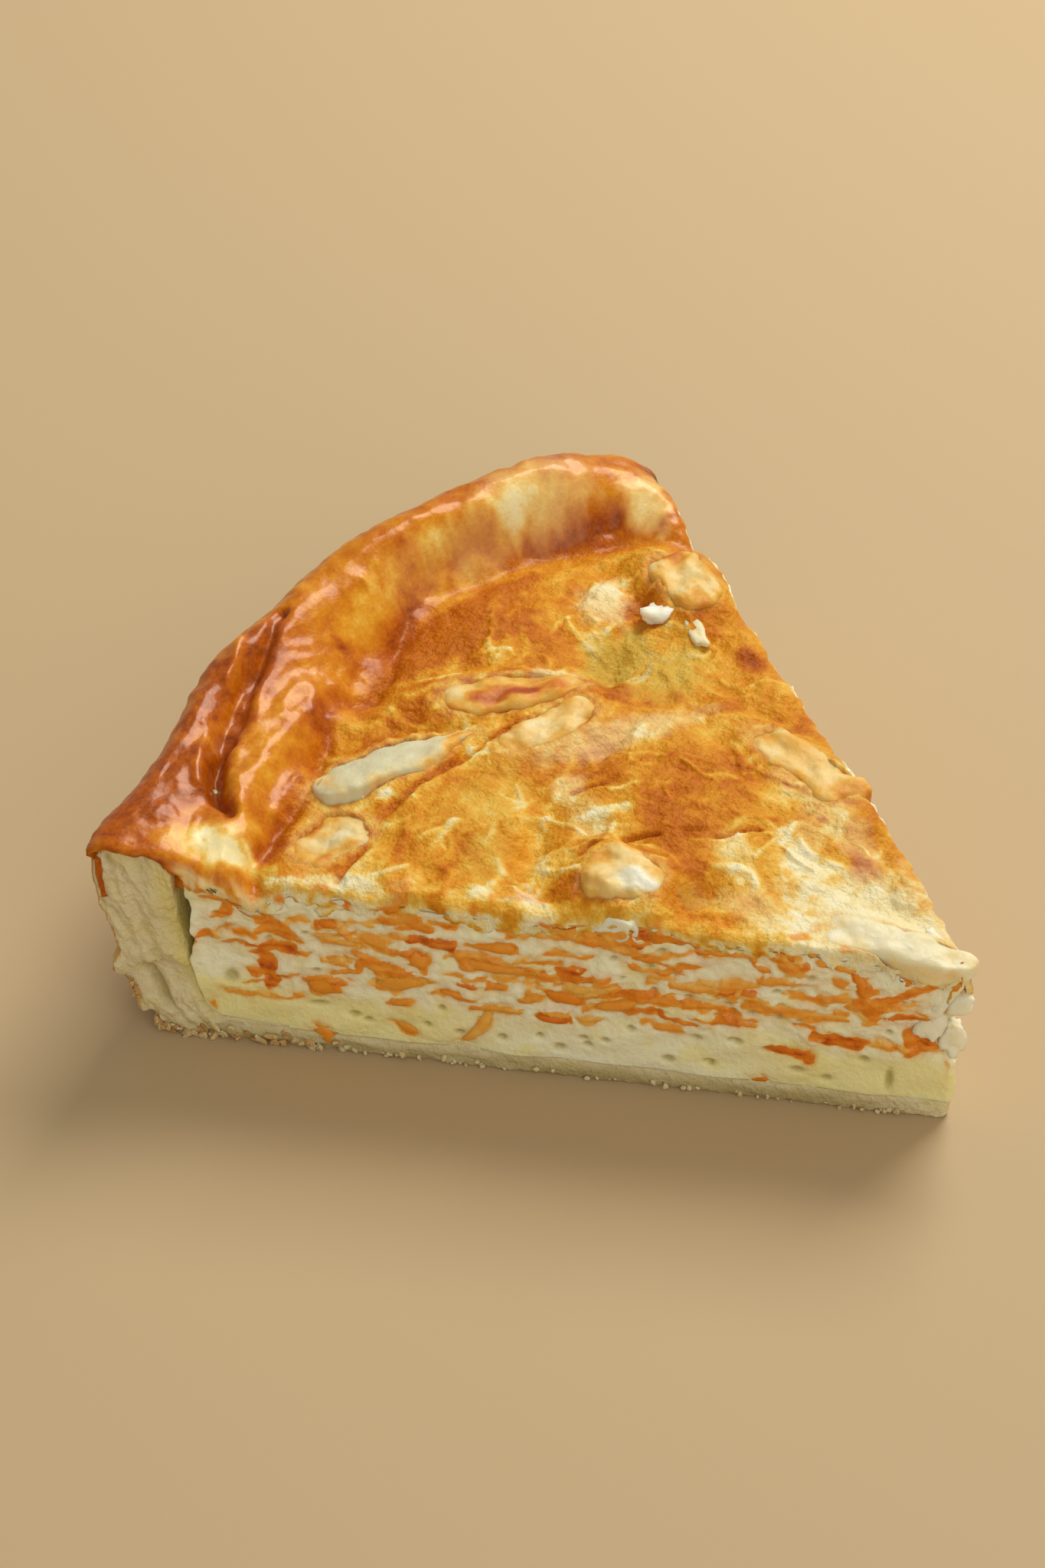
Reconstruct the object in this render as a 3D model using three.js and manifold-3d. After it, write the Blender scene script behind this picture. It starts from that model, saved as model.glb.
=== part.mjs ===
// A cut slice of a deep carrot and cheese quiche, one sixth of a round one.
// Units are millimetres and +Z is up. The slice lies on its pastry base with its middle line along Y:
// the tip points to -Y, the rim to +Y, and the origin is the middle of the base's box.
// Places on the slice are given from the tip as "along", the distance along the near cut, and "inward",
// the distance from the near cut into the slice. The near cut is the one on the -X side.
import * as THREE from "three";
import { mergeVertices } from "three/addons/utils/BufferGeometryUtils.js";
import Module from "manifold-3d";

const wasm = await Module();
wasm.setup();

// Driving dimensions
const sliceAngle = THREE.MathUtils.degToRad(61);
const rimRadius = 105;
const footRadius = 98;
const fillingHeight = 26;
const plainCustardTop = 8.8;
const baseThickness = 3.4;
const wallThickness = 9;
const tipRadius = 1.2;
const clearance = 0.3;
const wallFlakeCount = 18;

// Places worked out from them
const innerRadius = rimRadius - wallThickness;
const crestRadius = rimRadius - 3.5;
const tip = new THREE.Vector2(0, -(rimRadius + tipRadius) / 2);
const nearWay = new THREE.Vector2(-Math.sin(sliceAngle / 2), Math.cos(sliceAngle / 2));
const inWay = new THREE.Vector2(nearWay.y, -nearWay.x);
const sweepMargin = THREE.MathUtils.degToRad(4);

const { clamp, lerp, smoothstep, degToRad, radToDeg } = THREE.MathUtils;

// How the rim and the valley inside it run, each a list of [angle from the near cut in degrees, millimetres]
const crestHeights = [[0, 30.5], [10, 31.4], [25, 33], [40, 34.6], [52, 34.4], [61, 30.6]];
const crestSwells = [[0, 0.6], [8, -2.4], [22, -0.6], [34, 0.5], [50, 0.9], [61, 0.4]];
const valleyRadii = [[0, 85], [10, 85], [17, 86.5], [24, 88.5], [32, 91], [40, 94], [48, 94], [55, 92], [61, 87]];

// Mounds and hollows of the filling's top: the long axis runs at "turn" degrees from the near cut's line
const mounds = [
  { along: 66, inward: 15, long: 13, wide: 8, rise: 1.7, turn: 125 },
  { along: 66, inward: 55, long: 11, wide: 8, rise: 1.6, turn: 110 },
  { along: 36, inward: 24, long: 15, wide: 11, rise: 2, turn: 60 },
  { along: 20, inward: 22, long: 10, wide: 6, rise: 0.8, turn: 40 },
  { along: 43, inward: 69, long: 6, wide: 5, rise: 1.8, turn: 60 },
  { along: 41.5, inward: 8, long: 5, wide: 4.5, rise: 1.4, turn: 0 },
  { along: 54, inward: 13, long: 9, wide: 2.2, rise: -1.5, turn: 100 },
  { along: 48, inward: 50, long: 10, wide: 5, rise: -1.3, turn: 120 },
  { along: 75, inward: 22, long: 12, wide: 4, rise: -1.1, turn: 140 },
  { along: 32.7, inward: 7.2, long: 2.4, wide: 2, rise: -1.6, turn: 0 },
  { along: 6, inward: 4, long: 9, wide: 9, rise: -1.6, turn: 0 },
];

// The bulge of filling that rises against the rim near the near cut, and the crease outside it
const bulge = { radius: 90.5, from: 2, to: 27, width: 3.1, rise: 2.4 };
const crease = { start: 5, end: 25, inner: 91, outer: 101.5, bend: 9, width: 1.3, depth: 2.4 };

// Melted cheese on and in the top: long, wide and thick are full sizes, and level is the height of its middle
const cheeses = [
  { name: "cheese_slice_long", along: 73, inward: 24.2, long: 23, wide: 6, thick: 4.2, level: 25.9, turn: 140, lean: 12, taper: -0.15 },
  { name: "cheese_slice_near_cut", along: 78.5, inward: 9.4, long: 12, wide: 7.5, thick: 3, level: 25, turn: 118, lean: 4, taper: 0.2 },
  { name: "cheese_slice_scorched", along: 60.5, inward: 40.5, long: 19, wide: 6, thick: 4, level: 26.3, turn: 160, lean: 8, taper: 0.1 },
  { name: "cheese_slice_ridge", along: 55.5, inward: 33.5, long: 15, wide: 5.6, thick: 3.6, level: 26.3, turn: 132, lean: -6, taper: 0.15 },
  { name: "cheese_chunk_near_cut", along: 42, inward: 6.4, long: 9.5, wide: 8.5, thick: 6.5, level: 26.2, turn: 15, lean: 0, taper: 0.1 },
  { name: "cheese_slice_far_rim", along: 42.5, inward: 66.5, long: 12, wide: 7.5, thick: 4.4, level: 26.6, turn: 58, lean: 0, taper: 0.1 },
  { name: "cheese_slice_far_cut", along: 23, inward: 31.5, long: 19, wide: 6.4, thick: 3.8, level: 26.2, turn: 38, lean: 0, taper: -0.2 },
  { name: "cheese_slice_tip", along: 8.6, inward: 2.4, long: 19, wide: 5.6, thick: 3.6, level: 24, turn: 10, lean: 0, taper: 0.25 },
];

// Carrot shreds that stand out of the cuts: counts, and the ranges their places and sizes are spread over
const shreds = {
  perCut: 46,
  along: [9, 88],
  height: [10.6, 23.6],
  long: [4, 11],
  thick: [0.9, 2],
  deep: 1.6,
  proud: 0.35,
  tilt: 9,
};
// The large ones of the near cut, placed one by one
const largeShreds = [
  { along: 42, height: 23.4, long: 10, thick: 3.4, tilt: 2 },
  { along: 84.6, height: 13, long: 4.6, thick: 2.6, tilt: 70 },
  { along: 68.6, height: 14.4, long: 6.4, thick: 4.6, tilt: 20 },
  { along: 23, height: 14.6, long: 22, thick: 1.5, tilt: 3 },
  { along: 10, height: 14.2, long: 9, thick: 4, tilt: 8 },
];

const colours = { pastry: 0xd9c79c, plainCustard: 0xe3d68c, carrotCustard: 0xd9a24c, cheese: 0xeae6c6 };

// A value between the points of a short list, eased from one to the next
function eased(list, at) {
  const next = list.findIndex(([x]) => x >= at);
  if (next <= 0) return next === 0 ? list[0][1] : list[list.length - 1][1];
  const [x0, y0] = list[next - 1];
  const [x1, y1] = list[next];
  return lerp(y0, y1, smoothstep(at, x0, x1));
}

// Smooth unevenness from -1 to 1 with bumps about "size" millimetres apart
function ripple(x, y, size, seed) {
  const k = (2 * Math.PI) / size;
  const first = Math.sin(k * (x + 0.37 * y) + seed);
  const second = Math.sin(k * (0.81 * y - 0.52 * x) + 2.3 * seed);
  const third = Math.sin(1.37 * k * (0.6 * x + 0.9 * y) + 4.1 * seed);
  return (first + second + third) / 3;
}

// The n-th of a row of numbers from 0 to 1 that spread out evenly
const spread = (n, step) => (0.5 + n * step) % 1;

// From a place given as along and inward to the frame's x and y
function onPlan(along, inward) {
  return new THREE.Vector2().copy(tip).addScaledVector(nearWay, along).addScaledVector(inWay, inward);
}

// Height of the baked top over a place, from the tip to the rim
function topHeight(along, inward) {
  const radius = Math.hypot(along, inward);
  const degrees = radToDeg(Math.atan2(inward, along));
  const valley = eased(valleyRadii, degrees);
  const crest = eased(crestHeights, degrees);
  let height = fillingHeight + 0.35 * ripple(along, inward, 13, 1.7) + 0.2 * ripple(along, inward, 6.5, 4.2);
  for (const m of mounds) {
    const turn = degToRad(m.turn);
    const da = along - m.along;
    const di = inward - m.inward;
    const u = (da * Math.cos(turn) + di * Math.sin(turn)) / m.long;
    const v = (di * Math.cos(turn) - da * Math.sin(turn)) / m.wide;
    height += m.rise * Math.exp(-u * u - v * v);
  }
  height -= 0.8 * Math.exp(-(((radius - valley) / 3) ** 2));
  height = lerp(height, crest, smoothstep(radius, valley, crestRadius));
  const over = clamp((radius - crestRadius) / (rimRadius - crestRadius), 0, 1.4);
  height -= 2.2 * over * over;
  const inBulge = smoothstep(degrees, bulge.from - 3, bulge.from + 4) * (1 - smoothstep(degrees, bulge.to - 6, bulge.to));
  height += bulge.rise * inBulge * Math.exp(-(((radius - bulge.radius) / bulge.width) ** 2));
  const creaseRadius = crease.outer - (crease.outer - crease.inner) * Math.exp(-(degrees - crease.start) / crease.bend);
  const inCrease = smoothstep(degrees, crease.start - 1, crease.start + 5) * (1 - smoothstep(degrees, crease.end - 7, crease.end));
  height -= crease.depth * inCrease * Math.exp(-(((radius - creaseRadius) / crease.width) ** 2));
  return height;
}

// A geometry as a solid for joining and cutting
function solidOf(geometry) {
  const bare = new THREE.BufferGeometry().setAttribute("position", geometry.getAttribute("position"));
  if (geometry.index) bare.setIndex(geometry.index);
  const merged = mergeVertices(bare, 1e-3);
  const vertProperties = merged.getAttribute("position").array;
  const triVerts = new Uint32Array(merged.index.array);
  return new wasm.Manifold(new wasm.Mesh({ numProp: 3, vertProperties, triVerts }));
}

// A solid back as a geometry
function geometryOf(solid) {
  const made = solid.getMesh();
  const geometry = new THREE.BufferGeometry();
  geometry.setAttribute("position", new THREE.BufferAttribute(made.vertProperties, 3));
  geometry.setIndex(new THREE.BufferAttribute(made.triVerts, 1));
  geometry.computeVertexNormals();
  return geometry;
}

// Moves each point of a geometry to where a function of its x, y and z says
function reshape(geometry, toPlace) {
  const points = geometry.getAttribute("position");
  const point = new THREE.Vector3();
  for (let i = 0; i < points.count; i++) {
    point.fromBufferAttribute(points, i);
    const moved = toPlace(point);
    points.setXYZ(i, moved.x, moved.y, moved.z);
  }
  return geometry;
}

function meshOf(name, solid, colour, roughness) {
  const material = new THREE.MeshStandardMaterial({ color: colour, roughness, metalness: 0 });
  const mesh = new THREE.Mesh(geometryOf(solid), material);
  mesh.name = name;
  return mesh;
}

// How far the tip is bitten back at a height, where the crumbly end has broken away
const tipStart = (z) => tipRadius + 2.4 * Math.exp(-(((z - 15) / 4.5) ** 2));

// Unevenness of a cut, outwards from its flat plane, which the far one is swollen past
function cutRelief(along, z, far) {
  const torn = far ? 0 : -0.9 * Math.exp(-(((along - 90) / 7) ** 2) - ((z - 15.5) / 4.5) ** 2);
  const swollen = far ? 0.6 * smoothstep(z, 6, 18) : 0;
  return 0.32 * ripple(along, 1.7 * z, 11, far ? 5 : 1) + torn + swollen;
}

// The space between the two cuts: whatever is kept of the round quiche
function sliceSpace() {
  const alongSteps = 26;
  const heightSteps = 9;
  const reach = rimRadius / Math.cos(sliceAngle / 2) + 4;
  const box = new THREE.BoxGeometry(1, 1, 1, alongSteps, 1, heightSteps);
  return solidOf(
    reshape(box, ({ x, y, z }) => {
      const height = lerp(-3, 42, z + 0.5);
      const radius = lerp(tipStart(height), reach, x + 0.5);
      const far = y < 0;
      const angle = Math.PI / 2 + (far ? -sliceAngle / 2 : sliceAngle / 2);
      const out = height < baseThickness ? 0 : cutRelief(radius, height, far);
      const outWay = angle + (far ? -Math.PI / 2 : Math.PI / 2);
      return new THREE.Vector3(
        tip.x + radius * Math.cos(angle) + out * Math.cos(outWay),
        tip.y + radius * Math.sin(angle) + out * Math.sin(outWay),
        height,
      );
    }),
  );
}

// An outline of [radius, height] points swept round the tip, a little past both cuts
function sweepRound(outline, steps, toPlace) {
  const sweep = sliceAngle + 2 * sweepMargin;
  const shape = new THREE.Shape(outline.map(([radius, z]) => new THREE.Vector2(radius, z)));
  const geometry = new THREE.ExtrudeGeometry(shape, { depth: 1, steps, bevelEnabled: false });
  return reshape(geometry, ({ x, y, z }) => {
    const fromNear = z * sweep - sweepMargin;
    const [radius, height] = toPlace ? toPlace(x, y, fromNear) : [x, y];
    const along = radius * Math.cos(fromNear);
    const plan = onPlan(along, radius * Math.sin(fromNear));
    return new THREE.Vector3(plan.x, plan.y, height);
  });
}

// Outline points at this height are moved to the baked top
const topMark = 100;

// The inner face of the pastry, from the base up, which the filling fits
const innerFace = [
  [0.86 * innerRadius, baseThickness],
  [innerRadius - 5, baseThickness + 0.5],
  [innerRadius - 3, baseThickness + 2.5],
  [innerRadius - 2, 10],
  [innerRadius - 1, 14],
  [innerRadius - 0.2, 18],
];

// Thin flakes of pastry that stand off the lower wall, the first few at the foot of the near cut
function wallFlakes() {
  const scraps = [[1.2, 4.4], [2.6, 8.2], [0.9, 10.6]];
  return Array.from({ length: wallFlakeCount }, (_, n) => {
    const scrap = scraps[n];
    const fromNear = scrap ? degToRad(scrap[0]) : lerp(0.02, 0.98, spread(n, 0.618)) * sliceAngle;
    const z = scrap ? scrap[1] : lerp(4.2, 14, spread(n, 0.755));
    const radius = lerp(footRadius, rimRadius, smoothstep(z, -3, 20)) + (scrap ? 1 : 0.55);
    const flake = new THREE.SphereGeometry(1, 7, 5);
    flake.scale(scrap ? 1.1 : 0.55, lerp(2.2, 4.2, spread(n, 0.414)), lerp(1.6, 3.2, spread(n, 0.57)));
    flake.rotateY(degToRad(-16));
    const plan = onPlan(radius * Math.cos(fromNear), radius * Math.sin(fromNear));
    flake.rotateZ(Math.PI / 2 + sliceAngle / 2 - fromNear);
    flake.translate(plan.x, plan.y, z);
    return solidOf(flake);
  });
}

// Pastry: a thin base and a thick wall whose top carries the browned rim
function pastryCrust(space) {
  const outerFace = [
    [footRadius - 1.5, 0],
    [footRadius + 1, 1.6],
    [footRadius + 3, 5.5],
    [rimRadius - 1.6, 13],
    [rimRadius - 0.4, 20],
    [rimRadius + 0.2, 25],
  ];
  const crown = [0, 1.2, 2.4, 3.8, 5.6, 7.4].map((back) => [rimRadius - back, topMark]);
  const outline = [
    [0.2, 0],
    ...outerFace,
    ...crown,
    [innerRadius, topMark],
    ...[...innerFace].reverse(),
    [0.2, baseThickness],
  ];
  const body = sweepRound(outline, 32, (radius, z, fromNear) => {
    const onWall = smoothstep(radius, footRadius - 2, footRadius + 3);
    const arc = fromNear * rimRadius;
    const uneven = z > 0 ? 0.7 * ripple(arc, 0.4 * Math.min(z, 30), 21, 2.4) + 0.25 * ripple(arc, z, 7, 0.6) : 0;
    const swell = eased(crestSwells, radToDeg(fromNear));
    const placed = radius + onWall * (uneven + swell * smoothstep(z, 4, 28));
    const height = z === topMark ? topHeight(radius * Math.cos(fromNear), radius * Math.sin(fromNear)) : z;
    return [placed, height];
  });
  const pocket = new THREE.SphereGeometry(1, 10, 8);
  pocket.scale(1.1, 5, 3.6);
  pocket.rotateY(degToRad(12));
  pocket.rotateZ(sliceAngle / 2);
  const pocketPlan = onPlan(innerRadius + 1.6, 0);
  pocket.translate(pocketPlan.x, pocketPlan.y, 8.6);
  const joined = wasm.Manifold.union([solidOf(body), ...wallFlakes()]);
  return joined.intersect(space).subtract(solidOf(pocket));
}

// The lower, plain part of the filling
function plainCustard(space) {
  const outline = [
    [0.2, baseThickness + clearance],
    [0.86 * innerRadius, baseThickness + clearance],
    [innerRadius - 5.3, baseThickness + 0.5 + clearance],
    [innerRadius - 3.3, baseThickness + 2.5 + clearance],
    [innerRadius - 2.5, plainCustardTop - clearance / 2],
    [0.2, plainCustardTop - clearance / 2],
  ];
  return solidOf(sweepRound(outline, 20)).intersect(space);
}

// One carrot shred lying in a cut: a strip with narrower ends, half sunk
function shredOnCut({ along, height, long, thick, tilt }, far) {
  const shred = reshape(new THREE.BoxGeometry(1, 1, 1, 2, 1, 1), ({ x, y, z }) => {
    const narrow = 1 - 1.1 * Math.abs(x);
    return new THREE.Vector3(x * long, y * shreds.deep * (1 - Math.abs(x)), z * thick * narrow);
  });
  shred.rotateY(degToRad(tilt));
  const angle = Math.PI / 2 + (far ? -sliceAngle / 2 : sliceAngle / 2);
  const outWay = angle + (far ? -Math.PI / 2 : Math.PI / 2);
  const out = cutRelief(along, height, far) + shreds.proud - shreds.deep / 2;
  shred.rotateZ(angle);
  shred.translate(
    tip.x + along * Math.cos(angle) + out * Math.cos(outWay),
    tip.y + along * Math.sin(angle) + out * Math.sin(outWay),
    height,
  );
  return solidOf(shred);
}

function carrotShreds() {
  const made = largeShreds.map((shred) => shredOnCut(shred, false));
  for (const far of [false, true]) {
    for (let n = 0; n < shreds.perCut; n++) {
      const place = n + (far ? 0.5 : 0);
      const shred = {
        along: lerp(...shreds.along, spread(place, 0.7549)),
        height: lerp(...shreds.height, spread(place, 0.5698)),
        long: lerp(...shreds.long, spread(place, 0.618)),
        thick: lerp(...shreds.thick, spread(place, 0.4142)),
        tilt: lerp(-shreds.tilt, shreds.tilt, spread(place, 0.732)),
      };
      made.push(shredOnCut(shred, far));
    }
  }
  return made;
}

// A soft slab of cheese with rounded sides, "grown" by the room it needs round it
function cheeseForm({ long, wide, thick, taper }, grown) {
  const boxy = (v) => Math.sign(v) * Math.abs(v) ** 0.72;
  return reshape(new THREE.SphereGeometry(1, 14, 8).rotateX(Math.PI / 2), ({ x, y, z }) => {
    const uneven = 1 + 0.05 * ripple(9 * x, 9 * y + 4 * z, 8, long);
    return new THREE.Vector3(
      boxy(x) * (long / 2 + grown),
      boxy(y) * (wide / 2 + grown) * uneven * (1 + taper * x),
      boxy(z) * (thick / 2 + grown) * uneven,
    );
  });
}

function cheeseMesh(spec) {
  const mesh = meshOf(spec.name, solidOf(cheeseForm(spec, 0)), colours.cheese, 0.4);
  const plan = onPlan(spec.along, spec.inward);
  mesh.position.set(plan.x, plan.y, spec.level);
  mesh.rotation.set(0, degToRad(spec.lean), Math.PI / 2 + sliceAngle / 2 - degToRad(spec.turn), "ZYX");
  mesh.updateMatrixWorld();
  return mesh;
}

// The upper filling: custard full of carrot, with the baked top, cheese lying in it and a gap at the wall
function carrotCustard(space, cheeseMeshes) {
  const room = clearance;
  const rings = 28;
  const topRadii = Array.from({ length: rings }, (_, n) => {
    const radius = (innerRadius - room) * (1 - n / rings) ** 0.9;
    return [radius, topMark];
  });
  const wall = innerFace.filter(([, z]) => z > plainCustardTop).map(([radius, z]) => [radius - room, z]);
  const outline = [
    [0.2, plainCustardTop + clearance / 2],
    [innerRadius - 2.5, plainCustardTop + clearance / 2],
    ...wall,
    [innerRadius - room, 24],
    ...topRadii,
    [0.2, topMark],
  ];
  const body = solidOf(
    sweepRound(outline, 28, (radius, z, fromNear) => {
      const onTop = z === topMark;
      return [radius, onTop ? topHeight(radius * Math.cos(fromNear), radius * Math.sin(fromNear)) : z];
    }),
  ).intersect(space);
  const gap = new THREE.SphereGeometry(1, 12, 10);
  gap.scale(1.8, 6, 8.5);
  gap.rotateZ(sliceAngle / 2);
  const gapPlan = onPlan(innerRadius + 0.1, 0);
  gap.translate(gapPlan.x, gapPlan.y, 21.5);
  const pockets = cheeseMeshes.map((mesh, n) => {
    const grown = cheeseForm(cheeses[n], clearance).applyMatrix4(mesh.matrixWorld);
    return solidOf(grown);
  });
  return wasm.Manifold.union([body, ...carrotShreds()]).subtract(
    wasm.Manifold.union([solidOf(gap), ...pockets]),
  );
}

const space = sliceSpace();
const cheeseMeshes = cheeses.map(cheeseMesh);
const quiche = new THREE.Group();
quiche.add(meshOf("pastry_crust", pastryCrust(space), colours.pastry, 0.75));
quiche.add(meshOf("custard_plain", plainCustard(space), colours.plainCustard, 0.45));
quiche.add(meshOf("custard_with_carrot", carrotCustard(space, cheeseMeshes), colours.carrotCustard, 0.4));
quiche.add(...cheeseMeshes);

export default quiche;
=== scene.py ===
# Slice of carrot and cheese quiche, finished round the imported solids
import math

import bmesh
import bpy
import numpy as np
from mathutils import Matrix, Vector


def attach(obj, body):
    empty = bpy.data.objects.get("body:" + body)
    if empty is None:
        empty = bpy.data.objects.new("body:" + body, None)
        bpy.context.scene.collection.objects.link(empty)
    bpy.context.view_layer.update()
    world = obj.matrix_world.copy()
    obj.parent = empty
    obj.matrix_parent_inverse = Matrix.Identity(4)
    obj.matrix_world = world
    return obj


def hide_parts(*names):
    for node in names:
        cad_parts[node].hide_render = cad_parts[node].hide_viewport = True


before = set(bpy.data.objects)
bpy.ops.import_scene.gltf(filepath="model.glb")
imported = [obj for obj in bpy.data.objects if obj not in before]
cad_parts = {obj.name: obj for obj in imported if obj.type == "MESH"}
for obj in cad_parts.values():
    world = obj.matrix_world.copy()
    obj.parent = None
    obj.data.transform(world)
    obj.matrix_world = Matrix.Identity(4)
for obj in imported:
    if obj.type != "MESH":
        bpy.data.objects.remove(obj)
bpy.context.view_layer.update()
print("frame loaded:", ", ".join(sorted(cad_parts)))

# Places on the slice are in millimetres: "along" runs from the tip down the near cut, "inward" goes
# from the near cut into the slice, and (radius, degrees) is the same plan in polar form.
mm = 0.001
wedge = {
    "angle": 61.0,
    "rimRadius": 105.0,
    "fillingHeight": 26.0,
    "tipRadius": 1.2,
}
halfAngle = math.radians(wedge["angle"] / 2)
tip = np.array([0.0, -(wedge["rimRadius"] + wedge["tipRadius"]) / 2])
nearWay = np.array([-math.sin(halfAngle), math.cos(halfAngle)])
inWay = np.array([nearWay[1], -nearWay[0]])
farWay = np.array([math.sin(halfAngle), math.cos(halfAngle)])
nearOut = -inWay
farOut = np.array([farWay[1], -farWay[0]])
crestRadius = wedge["rimRadius"] - 3.5
# the pastry wall's two faces as (height, radius)
innerFace = [(3.4, 82.6), (3.9, 91), (5.9, 93), (10, 94), (14, 95), (18, 95.8), (34, 96)]
outerFace = [(0, 96.5), (1.6, 99), (5.5, 101), (13, 103.4), (20, 104.6), (25, 105.2), (34, 105.2)]

# The baked top: lists of (degrees from the near cut, millimetres)
top = {
    "crestHeights": [(0, 30.5), (10, 31.4), (25, 33), (40, 34.6), (52, 34.4), (61, 30.6)],
    "crestSwells": [(0, 0.6), (8, -2.4), (22, -0.6), (34, 0.5), (50, 0.9), (61, 0.4)],
    "valleyRadii": [
        (0, 85), (10, 85), (17, 86.5), (24, 88.5), (32, 91), (40, 94), (48, 94), (55, 92), (61, 87),
    ],
    # along, inward, long, wide, rise, turn from the near cut's line
    "mounds": [
        (66, 15, 13, 8, 1.7, 125),
        (66, 55, 11, 8, 1.6, 110),
        (36, 24, 15, 11, 2, 60),
        (20, 22, 10, 6, 0.8, 40),
        (43, 69, 6, 5, 1.8, 60),
        (41.5, 8, 5, 4.5, 1.4, 0),
        (54, 13, 9, 2.2, -1.5, 100),
        (48, 50, 10, 5, -1.3, 120),
        (75, 22, 12, 4, -1.1, 140),
        (32.7, 7.2, 2.4, 2, -1.6, 0),
        (6, 4, 9, 9, -1.6, 0),
    ],
    "bulge": {"radius": 90.5, "from": 2, "to": 27, "width": 3.1, "rise": 2.4},
    "crease": {"start": 5, "end": 25, "inner": 91, "outer": 101.5, "bend": 9, "width": 1.3, "depth": 2.4},
}


def smoothstep(x, low, high):
    t = np.clip((x - low) / (high - low), 0, 1)
    return t * t * (3 - 2 * t)


def eased(points, at):
    xs = np.array([p[0] for p in points], float)
    ys = np.array([p[1] for p in points], float)
    i = np.clip(np.searchsorted(xs, at) - 1, 0, len(xs) - 2)
    return ys[i] + (ys[i + 1] - ys[i]) * smoothstep(at, xs[i], xs[i + 1])


def ripple(x, y, size, seed):
    k = 2 * math.pi / size
    first = np.sin(k * (x + 0.37 * y) + seed)
    second = np.sin(k * (0.81 * y - 0.52 * x) + 2.3 * seed)
    third = np.sin(1.37 * k * (0.6 * x + 0.9 * y) + 4.1 * seed)
    return (first + second + third) / 3


def noise(points, size, seed=0.0, stretch=(1, 1, 1)):
    # gradient noise from about -1 to 1, with bumps about "size" millimetres wide
    p = points / (size * np.array(stretch)) + 17.13 * seed
    cell = np.floor(p).astype(np.int64)
    f = p - cell
    s = f * f * f * (f * (f * 6 - 15) + 10)
    total = np.zeros(len(p))
    for corner in np.ndindex(2, 2, 2):
        c = cell + corner
        h = (c[:, 0] * 73856093) ^ (c[:, 1] * 19349663) ^ (c[:, 2] * 83492791)
        h = ((h ^ (h >> 13)) * 1274126177) & 0xFFFFFFFF
        h = ((h ^ (h >> 15)) * 2246822519) & 0xFFFFFFFF
        turn = (h & 0xFFFF) / 65535 * 2 * math.pi
        lift = (h >> 16) / 65535 * 2 - 1
        ring = np.sqrt(np.maximum(0, 1 - lift**2))
        d = f - corner
        dot = ring * np.cos(turn) * d[:, 0] + ring * np.sin(turn) * d[:, 1] + lift * d[:, 2]
        total += np.prod(np.where(np.array(corner) == 1, s, 1 - s), axis=1) * dot
    return total * 1.6


def ridged(points, size, seed):
    return 1 - 2.2 * np.abs(noise(points, size, seed))


def straight(points, at):
    return np.interp(at, [p[0] for p in points], [p[1] for p in points])


def spaced(first, second, third):
    # points for the noise from three lists, any of which may be one number
    return np.column_stack(np.broadcast_arrays(first, second, third)).astype(float)


def onPlan(along, inward):
    return tip + np.outer(along, nearWay) + np.outer(inward, inWay)


def polar(radius, degrees):
    angle = np.radians(degrees)
    return np.stack([radius * np.cos(angle), radius * np.sin(angle)], axis=-1)


def inSlice(points):
    # along, inward, radius and degrees of points in the frame, in millimetres
    flat = points[:, :2] - tip
    along, inward = flat @ nearWay, flat @ inWay
    return along, inward, np.hypot(along, inward), np.degrees(np.arctan2(inward, along))


def topHeight(along, inward):
    radius = np.hypot(along, inward)
    degrees = np.degrees(np.arctan2(inward, along))
    valley = eased(top["valleyRadii"], degrees)
    crest = eased(top["crestHeights"], degrees)
    height = wedge["fillingHeight"] + 0.35 * ripple(along, inward, 13, 1.7)
    height = height + 0.2 * ripple(along, inward, 6.5, 4.2)
    for mAlong, mInward, long, wide, rise, turn in top["mounds"]:
        t = math.radians(turn)
        da, di = along - mAlong, inward - mInward
        u = (da * math.cos(t) + di * math.sin(t)) / long
        v = (di * math.cos(t) - da * math.sin(t)) / wide
        height = height + rise * np.exp(-u * u - v * v)
    height = height - 0.8 * np.exp(-(((radius - valley) / 3) ** 2))
    height = height + (crest - height) * smoothstep(radius, valley, crestRadius)
    over = np.clip((radius - crestRadius) / (wedge["rimRadius"] - crestRadius), 0, 1.4)
    height = height - 2.2 * over * over
    b = top["bulge"]
    inBulge = smoothstep(degrees, b["from"] - 3, b["from"] + 4)
    inBulge = inBulge * (1 - smoothstep(degrees, b["to"] - 6, b["to"]))
    height = height + b["rise"] * inBulge * np.exp(-(((radius - b["radius"]) / b["width"]) ** 2))
    c = top["crease"]
    closing = np.exp(-np.maximum(degrees - c["start"], -8) / c["bend"])
    creaseRadius = c["outer"] - (c["outer"] - c["inner"]) * closing
    inCrease = smoothstep(degrees, c["start"] - 1, c["start"] + 5) * (
        1 - smoothstep(degrees, c["end"] - 7, c["end"])
    )
    return height - c["depth"] * inCrease * np.exp(-(((radius - creaseRadius) / c["width"]) ** 2))


def cutRelief(along, z, far):
    torn = 0 if far else -0.9 * np.exp(-(((along - 90) / 7) ** 2) - ((z - 15.5) / 4.5) ** 2)
    swollen = 0.6 * smoothstep(z, 6, 18) if far else 0
    return 0.32 * ripple(along, 1.7 * z, 11, 5 if far else 1) + torn + swollen


def polarPlan(radius, degrees):
    place = polar(radius, degrees)
    return onPlan(np.array([place[0]]), np.array([place[1]]))[0]


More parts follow.
